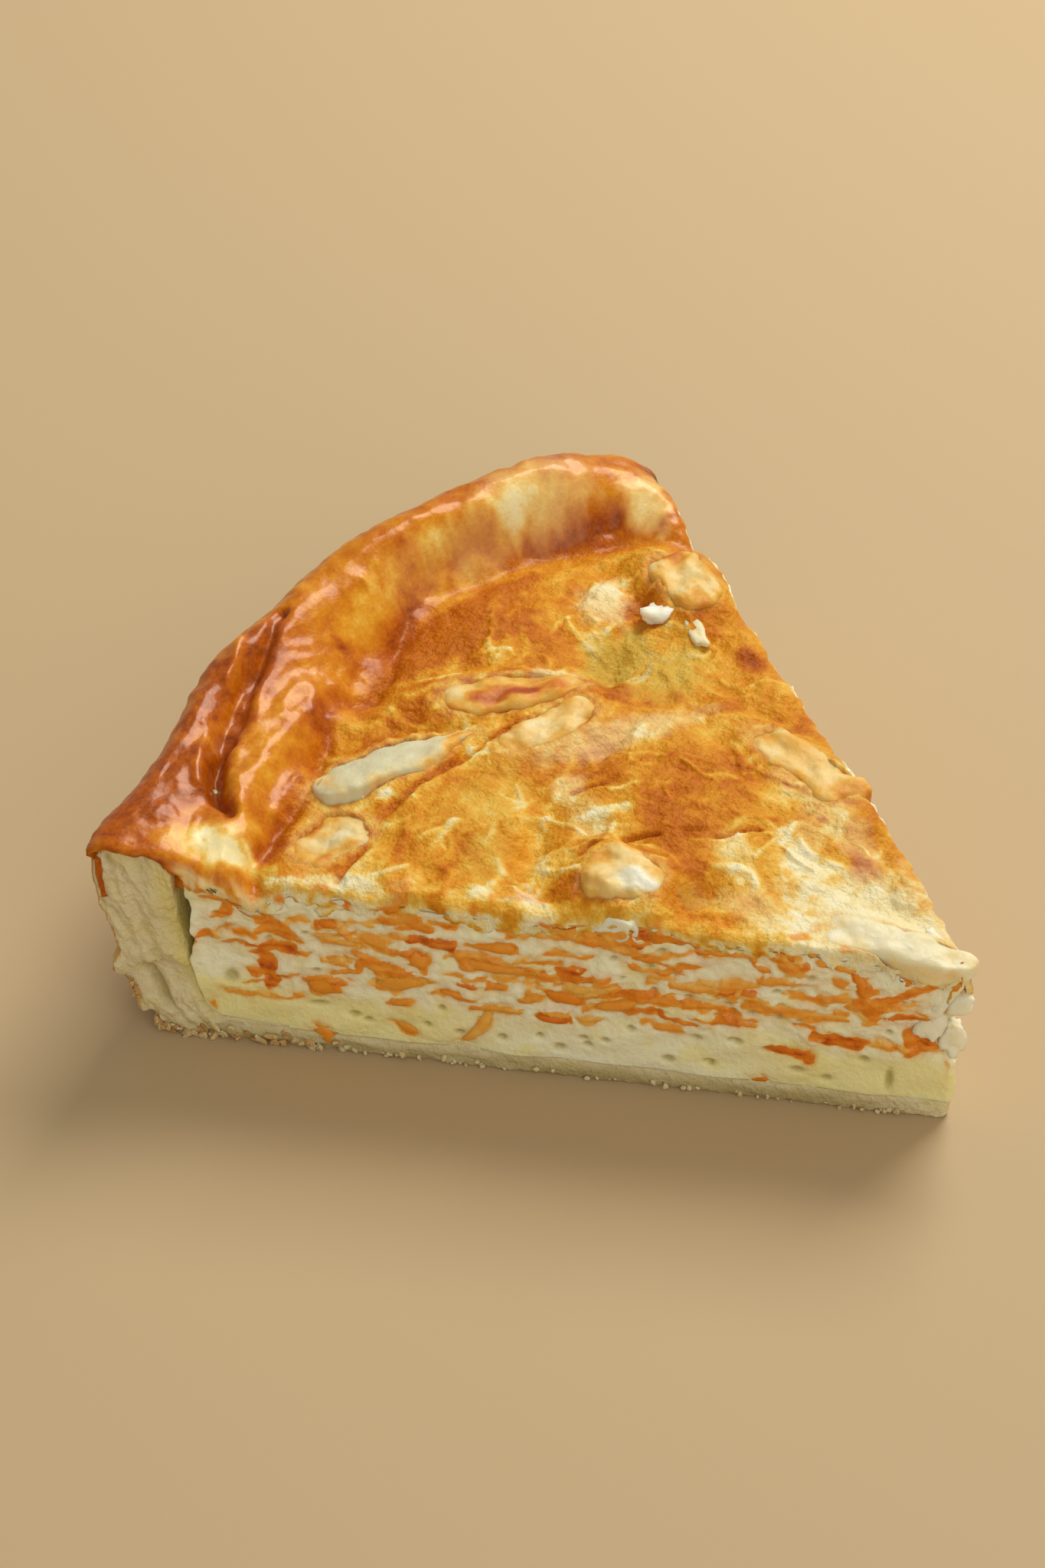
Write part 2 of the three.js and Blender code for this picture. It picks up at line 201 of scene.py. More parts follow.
def cutSurface(along, z, far):
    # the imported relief, and the finer breaks that a knife leaves in set custard
    cut = spaced(along, z * 1.4, 40.0 if far else 0.0)
    chewed = smoothstep(z, 8.5, 11.5)
    push = cutRelief(along, z, far) + 0.1 * noise(cut, 5, 63)
    push = push + chewed * (0.34 * noise(cut, 4.2, 61) + 0.2 * noise(cut, 1.9, 62))
    if not far:
        # custard that swells over the torn corner by the wall, with a broken lower edge
        step = 16.6 + 1.6 * noise(spaced(along, 0, 0), 3, 64)
        lump = smoothstep(z, step - 0.2, step + 0.9) * smoothstep(along, 84.2, 86.4)
        push = push + 0.75 * lump * (1 + 0.5 * noise(cut, 3, 65))
    return push


def overEdge(reach, roundness):
    # how a sheet that reaches so far in from an edge (negative: past it) lies over that edge
    bend = np.clip((roundness - reach) / roundness, 0, math.pi / 2)
    past = np.maximum(0, -reach - (math.pi / 2 - 1) * roundness)
    inset = np.where(reach > roundness, reach, roundness * (1 - np.sin(bend)))
    return inset, roundness * (1 - np.cos(bend)) + past, np.sin(bend)


def edgeRoundness(radius, far):
    if far:
        return 1.0 + 4.2 * smoothstep(radius, 93, 101) * (1 - 0.8 * smoothstep(radius, 103.5, 107))
    return 1.0 + 1.2 * np.exp(-(((radius - 89) / 4) ** 2)) - 0.4 * smoothstep(radius, 94, 98)


def roundedDrop(along, inward):
    radius = np.hypot(along, inward)
    fromFar = radius * np.sin(np.radians(wedge["angle"]) - np.arctan2(inward, along))
    drop = np.zeros(len(radius))
    for reach, far in ((inward, False), (fromFar, True)):
        roundness = edgeRoundness(radius, far)
        short = np.clip(roundness - reach, 0, roundness)
        drop += roundness - np.sqrt(np.maximum(roundness**2 - short**2, 0))
    return drop


def strokeField(place, path):
    # distance of each place to a polyline
    best = np.full(len(place), 1e9)
    for a, b in zip(path[:-1], path[1:]):
        d = b - a
        t = np.clip(((place - a) @ d) / (d @ d), 0, 1)
        best = np.minimum(best, np.linalg.norm(place - a - t[:, None] * d, axis=1))
    return best


# Fine strokes on the top: the path is (radius, degrees), depth and width in millimetres, bake darkens. Where
# a deep groove or crack is darkened (rim crease, inner valley, slice edge, far groove, cracks), the darkening
# is partly the browned skin's colour and partly painted shade in the groove
strokes = {
    "rim crease": {
        "path": [
            (101.8, 26), (100.8, 23.8), (98.5, 19.9), (96.3, 14.9), (95.6, 12.7), (95.9, 10.2), (94.2, 7.6),
            (91.1, 5.9),
        ],
        "depth": 1.2, "width": 0.7, "bake": 0.26,
    },
    # the crease's raised outer lip; its paler colour is a painted highlight where its gloss catches the light
    "crease lip with painted highlight": {
        "path": [(102.6, 22), (100.4, 18.5), (98.3, 14.5), (98, 11), (96.4, 7.8)],
        "depth": -0.7, "width": 0.8, "bake": -0.12,
    },
    "inner valley": {
        "path": [
            (86, 0.5), (87.1, 2.3), (86.4, 4.6), (85, 8.7), (84.7, 12.5), (86.3, 16.9), (89.2, 20.5),
            (90.4, 22.7), (87.6, 26), (88.3, 29), (91.9, 32.2), (95.4, 35.8), (97.4, 39.5), (97.5, 43.3),
            (96.5, 47), (95.1, 51.5), (95.1, 55.9),
        ],
        "depth": 0.9, "width": 1.1, "bake": 0.22,
    },
    "slice edge": {
        "path": [(76.2, 1.6), (74.4, 6), (74.2, 11.5), (71.6, 18.5), (69, 27), (66.5, 34)],
        "depth": 0.9, "width": 0.5, "bake": 0.38,
    },
    "slice lip": {
        "path": [(75, 1.6), (73.2, 6), (73, 11.5), (70.2, 19), (67.6, 27.5), (65.3, 34)],
        "depth": -0.6, "width": 0.8, "bake": -0.18,
    },
    "pale groove": {
        "path": [(61.4, 20.1), (55.8, 15.4), (53.4, 9), (52.8, 3.4)],
        "depth": 0.6, "width": 1.4, "bake": -0.16,
    },
    "far groove": {
        "path": [(86.5, 60), (83, 57), (80, 53.5), (76, 50), (70.5, 45), (65.5, 41.5)],
        "depth": 1.1, "width": 1.6, "bake": 0.14,
    },
    "slice trench": {
        "path": [(79.8, 9), (78, 14), (75.6, 20), (73, 26), (70.6, 31)],
        "depth": 0.7, "width": 1.2, "bake": -0.1,
    },
    "ridge edge": {
        "path": [(60, 23), (57.5, 28), (56.6, 34), (58.6, 39)],
        "depth": 0.5, "width": 0.8, "bake": 0.06,
    },
    "mound end": {
        "path": [(23.5, 60), (20.5, 52), (18.6, 42), (19.5, 30), (24, 20)],
        "depth": 0.5, "width": 1.6, "bake": -0.05,
    },
    "crack 1": {"path": [(55.6, 24.4), (54.6, 25.6), (53.3, 27.1)], "depth": 0.7, "width": 0.35, "bake": 0.5},
    "crack 2": {"path": [(45.4, 18.4), (43.8, 20.4), (42, 22.3)], "depth": 0.8, "width": 0.3, "bake": 0.55},
    "crack 3": {"path": [(49, 12.8), (47.5, 15.2)], "depth": 0.6, "width": 0.45, "bake": 0.4},
    "crack 4": {"path": [(39.7, 25.2), (38.1, 26)], "depth": 0.6, "width": 0.4, "bake": 0.45},
    "crack 5": {"path": [(36, 27.2), (34.2, 31), (32.7, 34.5)], "depth": 0.5, "width": 0.35, "bake": 0.35},
    "crack 6": {"path": [(37, 47.8), (35.4, 48.6), (33.8, 49.4)], "depth": 0.6, "width": 0.35, "bake": 0.45},
}

# Patches of colour and low relief: (radius, degrees, long, wide, turn), with how much they bake, rise or pale
patches = [
    # rim
    {"at": (99, 7), "size": (8, 5), "turn": 90, "bake": 0.12},
    {"at": (99.5, 19), "size": (12, 4), "turn": 100, "bake": 0.18},
    {"at": (37, 37), "size": (8, 2.4), "turn": 60, "bake": 0.1},
    {"at": (68, 15), "size": (7, 2), "turn": 100, "bake": 0.1},
    {"at": (92.5, 2), "size": (9, 2.6), "turn": 0, "bake": -0.34},
    # paler on the inner roll's slopes at (89, 5), (90, 12) and (91.5, 24): partly the skin's paler colour,
    # partly a painted highlight
    {"at": (89, 5), "size": (3.4, 2.6), "turn": 60, "bake": -0.16},
    {"at": (90, 12), "size": (5, 2.6), "turn": 100, "bake": -0.08},
    {"at": (91.5, 24), "size": (5, 3.6), "turn": 110, "bake": -0.1},
    # painted shade on the rim's outer flank by the near cut, on the slice's shaded side
    {"at": (104, 12), "size": (3.4, 13), "turn": 12, "bake": 0.14},
    {"at": (96, 32), "size": (8, 2.6), "turn": 120, "bake": -0.2},
    {"at": (97.4, 44.4), "size": (9, 2.8), "turn": 130, "bake": -0.22, "pale": 0.12},
    {"at": (98, 49.5), "size": (5, 2.6), "turn": 140, "bake": -0.16, "pale": 0.14},
    {"at": (95.6, 58.8), "size": (3, 4.5), "turn": 140, "bake": -0.35, "pale": 0.3},
    {"at": (91.5, 53), "size": (6, 2.6), "turn": 140, "bake": 0.1},
    {"at": (103.5, 53), "size": (3, 2), "turn": 140, "bake": 0.16},
    # filling behind the cheese slices
    {"at": (86, 38), "size": (10, 5), "turn": 130, "bake": 0.2},
    {"at": (80, 24), "size": (9, 3), "turn": 120, "bake": 0.14},
    {"at": (83, 33), "size": (6, 5), "turn": 120, "bake": 0.06},
    {"at": (81, 49.8), "size": (5, 3.4), "turn": 100, "bake": -0.34, "pale": 0.5, "rise": 0.4},
    {"at": (72, 46.5), "size": (7, 4), "turn": 110, "bake": -0.12, "amber": 0.8, "rise": -0.4},
    {"at": (64.5, 49), "size": (7, 5), "turn": 110, "bake": -0.12, "amber": 0.6},
    {"at": (72, 38), "size": (5, 2), "turn": 150, "bake": -0.35, "pale": 0.45, "rise": 0.3},
    {"at": (65.9, 42.3), "size": (3.6, 2), "turn": 60, "bake": 0.34},
    {"at": (61.5, 58.5), "size": (2.6, 2), "turn": 60, "bake": 0.2, "scorch": 0.12},
    {"at": (71, 57.5), "size": (6, 2.6), "turn": 60, "bake": 0.14},
    # mound in front of the slices
    {"at": (63.6, 18), "size": (9, 5), "turn": 110, "bake": -0.06, "amber": 0.2},
    {"at": (69, 13), "size": (7, 3), "turn": 115, "bake": -0.02},
    {"at": (79.1, 6.9), "size": (1.7, 1.2), "turn": 120, "bake": 0.3, "scorch": 0.2},
    {"at": (78.1, 9.9), "size": (1.6, 0.8), "turn": 120, "bake": 0.2, "scorch": 0.08},
    {"at": (81.7, 7.4), "size": (0.8, 0.6), "turn": 0, "bake": 0.3, "scorch": 0.08},
    {"at": (84.2, 5.4), "size": (2.4, 1.6), "turn": 100, "bake": 0.22},
    {"at": (77, 3.2), "size": (3, 1.2), "turn": 30, "bake": 0.2},
    {"at": (60, 9), "size": (6, 3), "turn": 90, "bake": -0.12, "amber": 0.35},
    {"at": (56.5, 25), "size": (3, 2), "turn": 90, "bake": -0.2, "pale": 0.25},
    # grainy golden mound
    {"at": (51.5, 21), "size": (4.4, 2.6), "turn": 60, "bake": -0.2, "pale": 0.16},
    {"at": (55, 30), "size": (8, 4), "turn": 100, "bake": 0.08},
    {"at": (46, 31), "size": (8, 5), "turn": 90, "bake": 0.1},
    {"at": (37, 31), "size": (7, 2.4), "turn": 100, "bake": 0.16},
    {"at": (32.4, 24.5), "size": (5, 2.6), "turn": 70, "bake": -0.16, "pale": 0.1},
    {"at": (40, 44), "size": (5, 3), "turn": 90, "bake": 0.06},
    {"at": (28, 41), "size": (4, 3.4), "turn": 80, "bake": -0.14, "pale": 0.15},
    {"at": (25.2, 33), "size": (5, 2.4), "turn": 60, "bake": -0.34, "pale": 0.4},
    {"at": (28.9, 47.4), "size": (0.8, 0.6), "turn": 0, "bake": 0.3, "scorch": 0.08},
    {"at": (48, 57), "size": (8, 2.4), "turn": 62, "bake": 0.12},
    {"at": (20.6, 47.5), "size": (3.6, 1.9), "turn": 52, "bake": 0.34, "scorch": 0.1},
    {"at": (22, 57), "size": (4, 2), "turn": 60, "bake": 0.08},
    # near cut's top edge and the tip
    {"at": (44.1, 11.2), "size": (2.2, 1.6), "turn": 90, "bake": 0.2},
    {"at": (34.2, 10.3), "size": (2.4, 2), "turn": 0, "bake": 0.12, "amber": 0.5},
    {"at": (48.5, 5), "size": (3.4, 2), "turn": 0, "bake": 0.24},
    {"at": (24, 11), "size": (9, 3), "turn": 20, "bake": -0.12, "pale": 0.2},
    {"at": (12, 24), "size": (12, 9), "turn": 30, "bake": -0.36, "pale": 0.55},
    {"at": (76.9, 1.2), "size": (7, 1.2), "turn": 0, "bake": -0.26, "pale": 0.3},
    {"at": (61.5, 2.4), "size": (8, 1.4), "turn": 0, "bake": -0.14},
    {"at": (101.5, 4.4), "size": (5, 9), "turn": 4, "bake": 0.3},
    {"at": (96.5, 9), "size": (4, 7), "turn": 10, "bake": 0.1},
    {"at": (90.6, 2.6), "size": (4.4, 3), "turn": 0, "bake": -0.26, "pale": 0.1},
    {"at": (40, 23), "size": (9, 3), "turn": 60, "bake": 0.1},
    {"at": (27, 50), "size": (9, 3), "turn": 50, "bake": -0.16, "pale": 0.2},
    {"at": (97.4, 38), "size": (3, 9), "turn": 36, "bake": -0.16, "pale": 0.06},
    {"at": (90, 38), "size": (2.4, 15), "turn": 38, "bake": 0.24},
    {"at": (57.5, 37), "size": (12, 3), "turn": 145, "bake": -0.1, "pale": 0.3},
    {"at": (86, 29), "size": (4, 9), "turn": 29, "bake": 0.14},
    {"at": (99, 50), "size": (4, 9), "turn": 50, "bake": -0.16, "pale": 0.2},
    {"at": (54, 57.5), "size": (5, 3.4), "turn": 60, "bake": -0.16, "rise": 0.8},
    {"at": (36, 51), "size": (5, 4), "turn": 50, "bake": -0.08, "pale": 0.16},
    {"at": (87, 35), "size": (3, 8), "turn": 34, "bake": 0.2},
    {"at": (65, 59), "size": (3, 2.4), "turn": 60, "bake": 0, "rise": 0.7},
    {"at": (35, 58), "size": (4.6, 2.4), "turn": 60, "bake": -0.1, "rise": 0.8},
    {"at": (14, 55), "size": (3, 2), "turn": 60, "bake": 0, "rise": 0.7},
    {"at": (56, 3), "size": (5, 2.6), "turn": 0, "bake": -0.1, "rise": 0.5},
    {"at": (70, 3), "size": (4, 2.4), "turn": 0, "bake": -0.04, "rise": 0.4},
]


def patchField(place, patch, ragged):
    centre = polar(*map(float, patch["at"]))
    long, wide = patch["size"]
    t = math.radians(patch["turn"])
    d = place - centre
    u = (d[:, 0] * math.cos(t) + d[:, 1] * math.sin(t)) / long
    v = (d[:, 1] * math.cos(t) - d[:, 0] * math.sin(t)) / wide
    return smoothstep(np.hypot(u, v) + ragged, 1.3, 0.4)


# Melted strands and blisters scattered over the top, from seeded draws
scattered = {"strandSeed": 31, "strands": 330, "blisterSeed": 32, "blisters": 190}


def drawStrands():
    rng = np.random.default_rng(scattered["strandSeed"])
    drawn = []
    for _ in range(scattered["strands"]):
        radius = 12 + 74 * math.sqrt(rng.random())
        degrees = rng.uniform(3, 58)
        inMound = 56 < radius < 74 and degrees < 26
        turn = rng.normal(115, 22) if inMound else rng.uniform(0, 180)
        drawn.append(
            {
                "at": polar(radius, degrees),
                "turn": math.radians(turn),
                "half": rng.uniform(0.8, 3.4),
                "width": rng.uniform(0.28, 0.62),
                "bend": rng.normal(0, 0.6),
                "rise": rng.uniform(0.1, 0.34),
                "bake": rng.choice([-0.24, -0.14, 0.12]) * rng.uniform(0.5, 1.2),
            }
        )
    return drawn


def drawBlisters():
    rng = np.random.default_rng(scattered["blisterSeed"])
    drawn = []
    for _ in range(scattered["blisters"]):
        drawn.append(
            {
                "at": polar(rng.uniform(86, 104.5), rng.uniform(0.5, 60.5)),
                "size": rng.uniform(0.6, 2.1),
                "rise": rng.uniform(0.04, 0.2),
                "bake": rng.uniform(-0.1, 0.07),
            }
        )
    return drawn


strands = drawStrands()
blisters = drawBlisters()


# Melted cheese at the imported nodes' places and sizes. "proud" is how far its top stands above the skin
# round it, "toast" how brown it is, "clear" how glassy, and "spots" are (x, y, size, toast) on its top.
cheeses = {
    "cheese_slice_long": {
        "at": (73, 24.2), "size": (23, 7.2, 4.2), "level": 25.9, "turn": 140, "roll": 14,
        "taper": 0, "pointed": 0.7, "proud": 0.35, "toast": 0.1, "clear": 0.8, "ribs": 0.14, "edge": 0.26,
        "wobble": 0.7,
        "spots": [(0.95, 0.2, 0.34, 0.36), (0.5, 0.9, 0.3, 0.16), (-0.9, -0.4, 0.3, 0.14)],
    },
    "cheese_slice_near_cut": {
        "at": (78.5, 9.4), "size": (12, 7.5, 3), "level": 25, "turn": 118, "roll": 6, "taper": 0.2,
        "proud": 0.05, "toast": 0.36, "clear": 0.45, "ribs": 0.05, "edge": 0.2, "wobble": 1.2,
        "spots": [(-0.6, 0.7, 0.3, 0.2), (0.2, -0.9, 0.3, 0.2), (0.2, 0.2, 0.3, -0.16)],
    },
    "cheese_slice_scorched": {
        "at": (60.5, 40.2), "size": (19, 7.4, 4), "level": 26.3, "turn": 160, "roll": 8,
        "taper": -0.1, "pointed": 0.4, "proud": 0.55, "toast": 0.46, "clear": 0, "ribs": 0.05, "edge": 0.12,
        "wobble": 1.1,
        "spots": [
            (0.08, 0.3, 0.22, 0.5), (-0.36, 0.3, 0.34, 0.26), (0.5, 0.3, 0.3, 0.16), (-0.9, 0, 0.3, -0.14),
        ],
    },
    "cheese_slice_ridge": {
        "at": (55.5, 33.5), "size": (15, 5.6, 3.6), "level": 26.3, "turn": 132, "roll": 0, "taper": 0.15,
        "proud": 0.3, "toast": 0.34, "clear": 0.1, "ribs": 0.05, "edge": 0.2, "wobble": 1.1,
        "spots": [(0.7, 0, 0.35, 0.12)],
    },
    "cheese_chunk_near_cut": {
        "at": (42, 6.4), "size": (9.5, 8.5, 6.5), "level": 26.2, "turn": 15, "roll": 0, "taper": 0.1,
        "proud": 1, "toast": 0.34, "clear": 0, "ribs": 0, "edge": 0.1, "wobble": 1.4,
        "spots": [(-0.45, -0.4, 0.62, -0.36), (0.8, 0.1, 0.5, 0.14), (0.2, 0.9, 0.4, 0.1)],
    },
    "cheese_slice_far_rim": {
        "at": (42.5, 66.5), "size": (12, 7.5, 4.4), "level": 26.6, "turn": 58, "roll": 0, "taper": 0.1,
        "proud": 0.4, "toast": 0.34, "clear": 0, "ribs": 0, "edge": 0.16, "wobble": 1.2,
        "spots": [(-0.9, 0, 0.4, 0.2), (0.9, 0.2, 0.5, 0.22), (0, 0.9, 0.3, 0.15)],
    },
    "cheese_slice_far_cut": {
        "at": (23, 31.5), "size": (19, 6.4, 3.8), "level": 26.2, "turn": 38, "roll": 0, "taper": -0.2,
        "proud": 0.3, "toast": 0.36, "clear": 0, "ribs": 0.05, "edge": 0.16, "wobble": 1.2,
        "spots": [(0.8, 0.2, 0.3, 0.12), (-0.8, 0.2, 0.3, 0.15)],
    },
    "cheese_slice_tip": {
        "at": (8.6, 2.4), "size": (19, 5.6, 3.6), "level": 24, "turn": 10, "roll": 0, "taper": 0.25,
        "proud": 0.3, "toast": 0.12, "clear": 0.1, "ribs": 0, "edge": 0.16, "wobble": 1,
        "spots": [],
    },
}


def cheeseField(place, cheese):
    # 1 at the slice's edge in plan, less inside it
    t = math.radians(cheese["turn"])
    d = place - np.array(cheese["at"], float)
    x = (d[:, 0] * math.cos(t) + d[:, 1] * math.sin(t)) / (cheese["size"][0] / 2)
    y = (d[:, 1] * math.cos(t) - d[:, 0] * math.sin(t)) / (cheese["size"][1] / 2)
    y = y / (1 + cheese["taper"] * np.clip(x, -1, 1) - cheese.get("pointed", 0) * smoothstep(x, 0.1, 1))
    return (np.abs(x) ** 3.2 + np.abs(y) ** 3.2) ** (1 / 3.2)


def topDetail(along, inward):
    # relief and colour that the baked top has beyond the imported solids
    place = np.stack([along, inward], axis=1)
    flat = spaced(along, inward, 0)
    radius = np.hypot(along, inward)
    degrees = np.degrees(np.arctan2(inward, along))
    valley = eased(top["valleyRadii"], degrees)
    onRim = smoothstep(radius, valley - 2, valley + 3)
    offRim = 1 - onRim
    swirled = spaced(along + 1.6 * noise(flat, 7, 3), inward + 1.6 * noise(flat, 7, 4), 0)
    rimPlan = spaced(radius * 1.5, np.radians(degrees) * 71, 0)
    rimSwirl = rimPlan + 1.2 * spaced(noise(rimPlan, 5, 3), noise(rimPlan, 5, 4), 0)

    relief = offRim * (0.42 * noise(flat, 6, 1) + 0.26 * noise(swirled, 2.8, 2))
    relief += offRim * (0.13 * noise(flat, 1.3, 5) + 0.07 * noise(flat, 0.75, 6))
    relief += onRim * (0.5 * noise(rimPlan, 8, 7) + 0.17 * ridged(rimSwirl, 4.4, 8) - 0.1)
    relief += onRim * (0.05 * ridged(rimSwirl, 1.9, 9) + 0.03 * noise(rimPlan, 0.9, 10))

    bake = 0.46 + 0.16 * onRim
    cloudy = 0.13 * noise(flat, 11, 11) + 0.14 * noise(swirled, 4.2, 12) + 0.08 * noise(flat, 1.7, 13)
    streaky = 0.08 * noise(rimPlan, 12, 14) + 0.08 * noise(rimSwirl, 4, 15) + 0.06 * noise(rimPlan, 1.6, 16)
    bake = bake + offRim * cloudy + onRim * streaky
    # painted shade and light: the bake is darker in the relief's hollows and paler on its bumps
    bake -= 0.1 * relief
    pale = np.zeros(len(place))
    amber = np.zeros(len(place))
    scorch = np.zeros(len(place))
    ragged = 0.32 * noise(flat, 2.4, 21) + 0.2 * noise(flat, 1.0, 22)
    for patch in patches:
        field = patchField(place, patch, ragged)
        bake += patch["bake"] * field
        scorch += patch.get("scorch", 0) * field
        pale = np.maximum(pale, patch.get("pale", 0) * field)
        amber = np.maximum(amber, patch.get("amber", 0) * field)
        relief += patch.get("rise", 0) * field
    for strand in strands:
        d = place - strand["at"]
        near = np.flatnonzero(np.abs(d).max(axis=1) < strand["half"] + 2)
        c, s = math.cos(strand["turn"]), math.sin(strand["turn"])
        x, y = d[near, 0] * c + d[near, 1] * s, d[near, 1] * c - d[near, 0] * s
        y = y - strand["bend"] * ((x / strand["half"]) ** 2 - 0.5)
        gap = np.hypot(np.maximum(np.abs(x) - strand["half"], 0), y) / strand["width"]
        field = np.exp(-gap * gap) * offRim[near]
        relief[near] += strand["rise"] * field
        bake[near] += strand["bake"] * field
    for blister in blisters:
        d = place - blister["at"]
        near = np.flatnonzero(np.abs(d).max(axis=1) < 3 * blister["size"])
        gap = np.linalg.norm(d[near], axis=1) / blister["size"] * (1 + 0.4 * ragged[near])
        field = np.exp(-(gap**4)) * onRim[near]
        relief[near] += blister["rise"] * field
        bake[near] += blister["bake"] * field
    wander = place + 0.5 * np.stack([noise(flat, 3, 31), noise(flat, 3, 32)], axis=1)
    for stroke in strokes.values():
        path = np.array([polar(float(r), float(d)) for r, d in stroke["path"]])
        near = strokeField(wander, path) / stroke["width"]
        relief -= stroke["depth"] * np.exp(-near * near)
        # darker along the deep grooves and cracks, partly painted shade in them; paler along the crease lip,
        # a painted highlight
        bake += stroke["bake"] * np.exp(-((near / 1.3) ** 2))
    under = topHeight(along, inward)
    for cheese in cheeses.values():
        field = cheeseField(place, cheese) + 0.3 * ragged
        rest = cheese["level"] + cheese["size"][2] / 2 - cheese["proud"]
        collar = smoothstep(field, 1.9, 1.0)
        relief += collar * np.clip(rest - (under + relief), -1.5, 1.6)
        relief -= 2.2 * smoothstep(field, 0.86, 0.72)
        seam = smoothstep(field, 1.25, 0.95)
        bake += seam * (0.34 + 0.3 * noise(flat, 1.5, 23) - 0.8 * bake)
        pale = np.maximum(pale, 0.1 * seam)
    bake = np.minimum(bake, 0.66 + 0.13 * onRim) + scorch
    return relief, bake, pale, amber, onRim


def skinHeight(along, inward):
    return topHeight(along, inward) + topDetail(along, inward)[0] - roundedDrop(along, inward)


# Helpers for meshes
def deselectAll():
    if bpy.context.object and bpy.context.object.mode != "OBJECT":
        bpy.ops.object.mode_set(mode="OBJECT")
    bpy.ops.object.select_all(action="DESELECT")


def makeActive(piece):
    deselectAll()
    piece.select_set(True)
    bpy.context.view_layer.objects.active = piece


def namedActive(name):
    piece = bpy.context.object
    piece.name = name
    piece.data.name = name
    return piece


def pointsOf(piece):
    flat = np.empty(len(piece.data.vertices) * 3)
    piece.data.vertices.foreach_get("co", flat)
    return flat.reshape(-1, 3) / mm


def placePoints(piece, points):
    piece.data.vertices.foreach_set("co", (points * mm).ravel())
    piece.data.update()


def normalsOf(piece):
    flat = np.empty(len(piece.data.vertices) * 3)
    piece.data.vertex_normals.foreach_get("vector", flat)
    return flat.reshape(-1, 3)


def paint(piece, name, values):
    layer = piece.data.attributes.new(name, "FLOAT", "POINT")
    layer.data.foreach_set("value", np.clip(values, 0, 1).astype(np.float32))


def applyModifier(piece, kind, **settings):
    makeActive(piece)
    modifier = piece.modifiers.new(kind.title(), kind)
    for name, value in settings.items():
        setattr(modifier, name, value)
    bpy.ops.object.modifier_apply(modifier=modifier.name)


def smoothShade(piece):
    makeActive(piece)
    bpy.ops.object.shade_smooth()


def outwardNormals(piece):
    makeActive(piece)
    bpy.ops.object.mode_set(mode="EDIT")
    bpy.ops.mesh.select_all(action="SELECT")
    bpy.ops.mesh.normals_make_consistent(inside=False)
    bpy.ops.object.mode_set(mode="OBJECT")


def centresOf(piece):
    flat = np.empty(len(piece.data.polygons) * 3)
    piece.data.polygons.foreach_get("center", flat)
    return flat.reshape(-1, 3) / mm


def mergeClose(piece, distance):
    makeActive(piece)
    bpy.ops.object.mode_set(mode="EDIT")
    bpy.ops.mesh.select_all(action="SELECT")
    bpy.ops.mesh.remove_doubles(threshold=distance * mm)
    bpy.ops.object.mode_set(mode="OBJECT")


def gridPiece(name, across, up):
    # a flat primitive grid, with each vertex's share of the way across and up it
    deselectAll()
    bpy.ops.mesh.primitive_grid_add(x_subdivisions=across, y_subdivisions=up, size=1)
    piece = namedActive(name)
    share = pointsOf(piece) * mm + 0.5
    return piece, share[:, 0], share[:, 1]


def finerFaces(piece, chosen):
    bm = bmesh.new()
    bm.from_mesh(piece.data)
    bm.faces.ensure_lookup_table()
    edges = {edge for i in np.flatnonzero(chosen) for edge in bm.faces[i].edges}
    bmesh.ops.subdivide_edges(bm, edges=list(edges), cuts=1, use_grid_fill=True)
    bmesh.ops.triangulate(bm, faces=[f for f in bm.faces if len(f.verts) > 4])
    bm.to_mesh(piece.data)
    bm.free()


def copyOfNode(node, name):
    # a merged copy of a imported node, to work on
    deselectAll()
    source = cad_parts[node]
    piece = source.copy()
    piece.data = source.data.copy()
    bpy.context.scene.collection.objects.link(piece)
    makeActive(piece)
    namedActive(name)
    piece.parent = None
    piece.data.materials.clear()
    mergeClose(piece, 0.01)
    return piece


def meshPiece(name, points, faces):
    mesh = bpy.data.meshes.new(name)
    mesh.from_pydata((np.asarray(points) * mm).tolist(), [], faces)
    mesh.update()
    piece = bpy.data.objects.new(name, mesh)
    bpy.context.scene.collection.objects.link(piece)
    return piece


# Materials
def linear(code):
    channels = [int(code[i : i + 2], 16) / 255 for i in (1, 3, 5)]
    return tuple(c / 12.92 if c <= 0.04045 else ((c + 0.055) / 1.055) ** 2.4 for c in channels) + (1.0,)


def addNode(tree, kind, settings, links, output=0):
    # a node with its settings and links, as the socket that comes out of it
    node = tree.nodes.new(kind)
    for name, value in settings.items():
        if name == "stops":
            ramp = node.color_ramp
            while len(ramp.elements) < len(value):
                ramp.elements.new(0.5)
            for element, (position, colour) in zip(ramp.elements, value):
                element.position = position
                element.color = linear(colour)
        else:
            setattr(node, name, value)
    for name, value in links.items():
        socket = node.inputs[name]
        if isinstance(value, bpy.types.NodeSocket):
            tree.links.new(value, socket)
        else:
            socket.default_value = value
    return node.outputs[output] if len(node.outputs) else node


def startMaterial(name):
    material = bpy.data.materials.new(name)
    material.use_nodes = True
    tree = material.node_tree
    tree.nodes.clear()
    place = addNode(tree, "ShaderNodeTexCoord", {}, {}, "Object")
    return material, tree, place


def markedPlaces(tree, names):
    # what was painted on the mesh, by name
    return {name: addNode(tree, "ShaderNodeAttribute", {"attribute_name": name}, {}, "Fac") for name in names}


def layered(tree, colour, layers):
    # colours laid over one another, each where its mask is high
    for mask, over in layers:
        links = {"Factor": mask, "A": colour, "B": linear(over)}
        colour = addNode(tree, "ShaderNodeMix", {"data_type": "RGBA"}, links, "Result")
    return colour


def grainSize(place, size, detail):
    # a noise pattern whose bumps are "size" millimetres wide
    return {"Vector": place, "Scale": 1 / (size * mm), "Detail": detail}


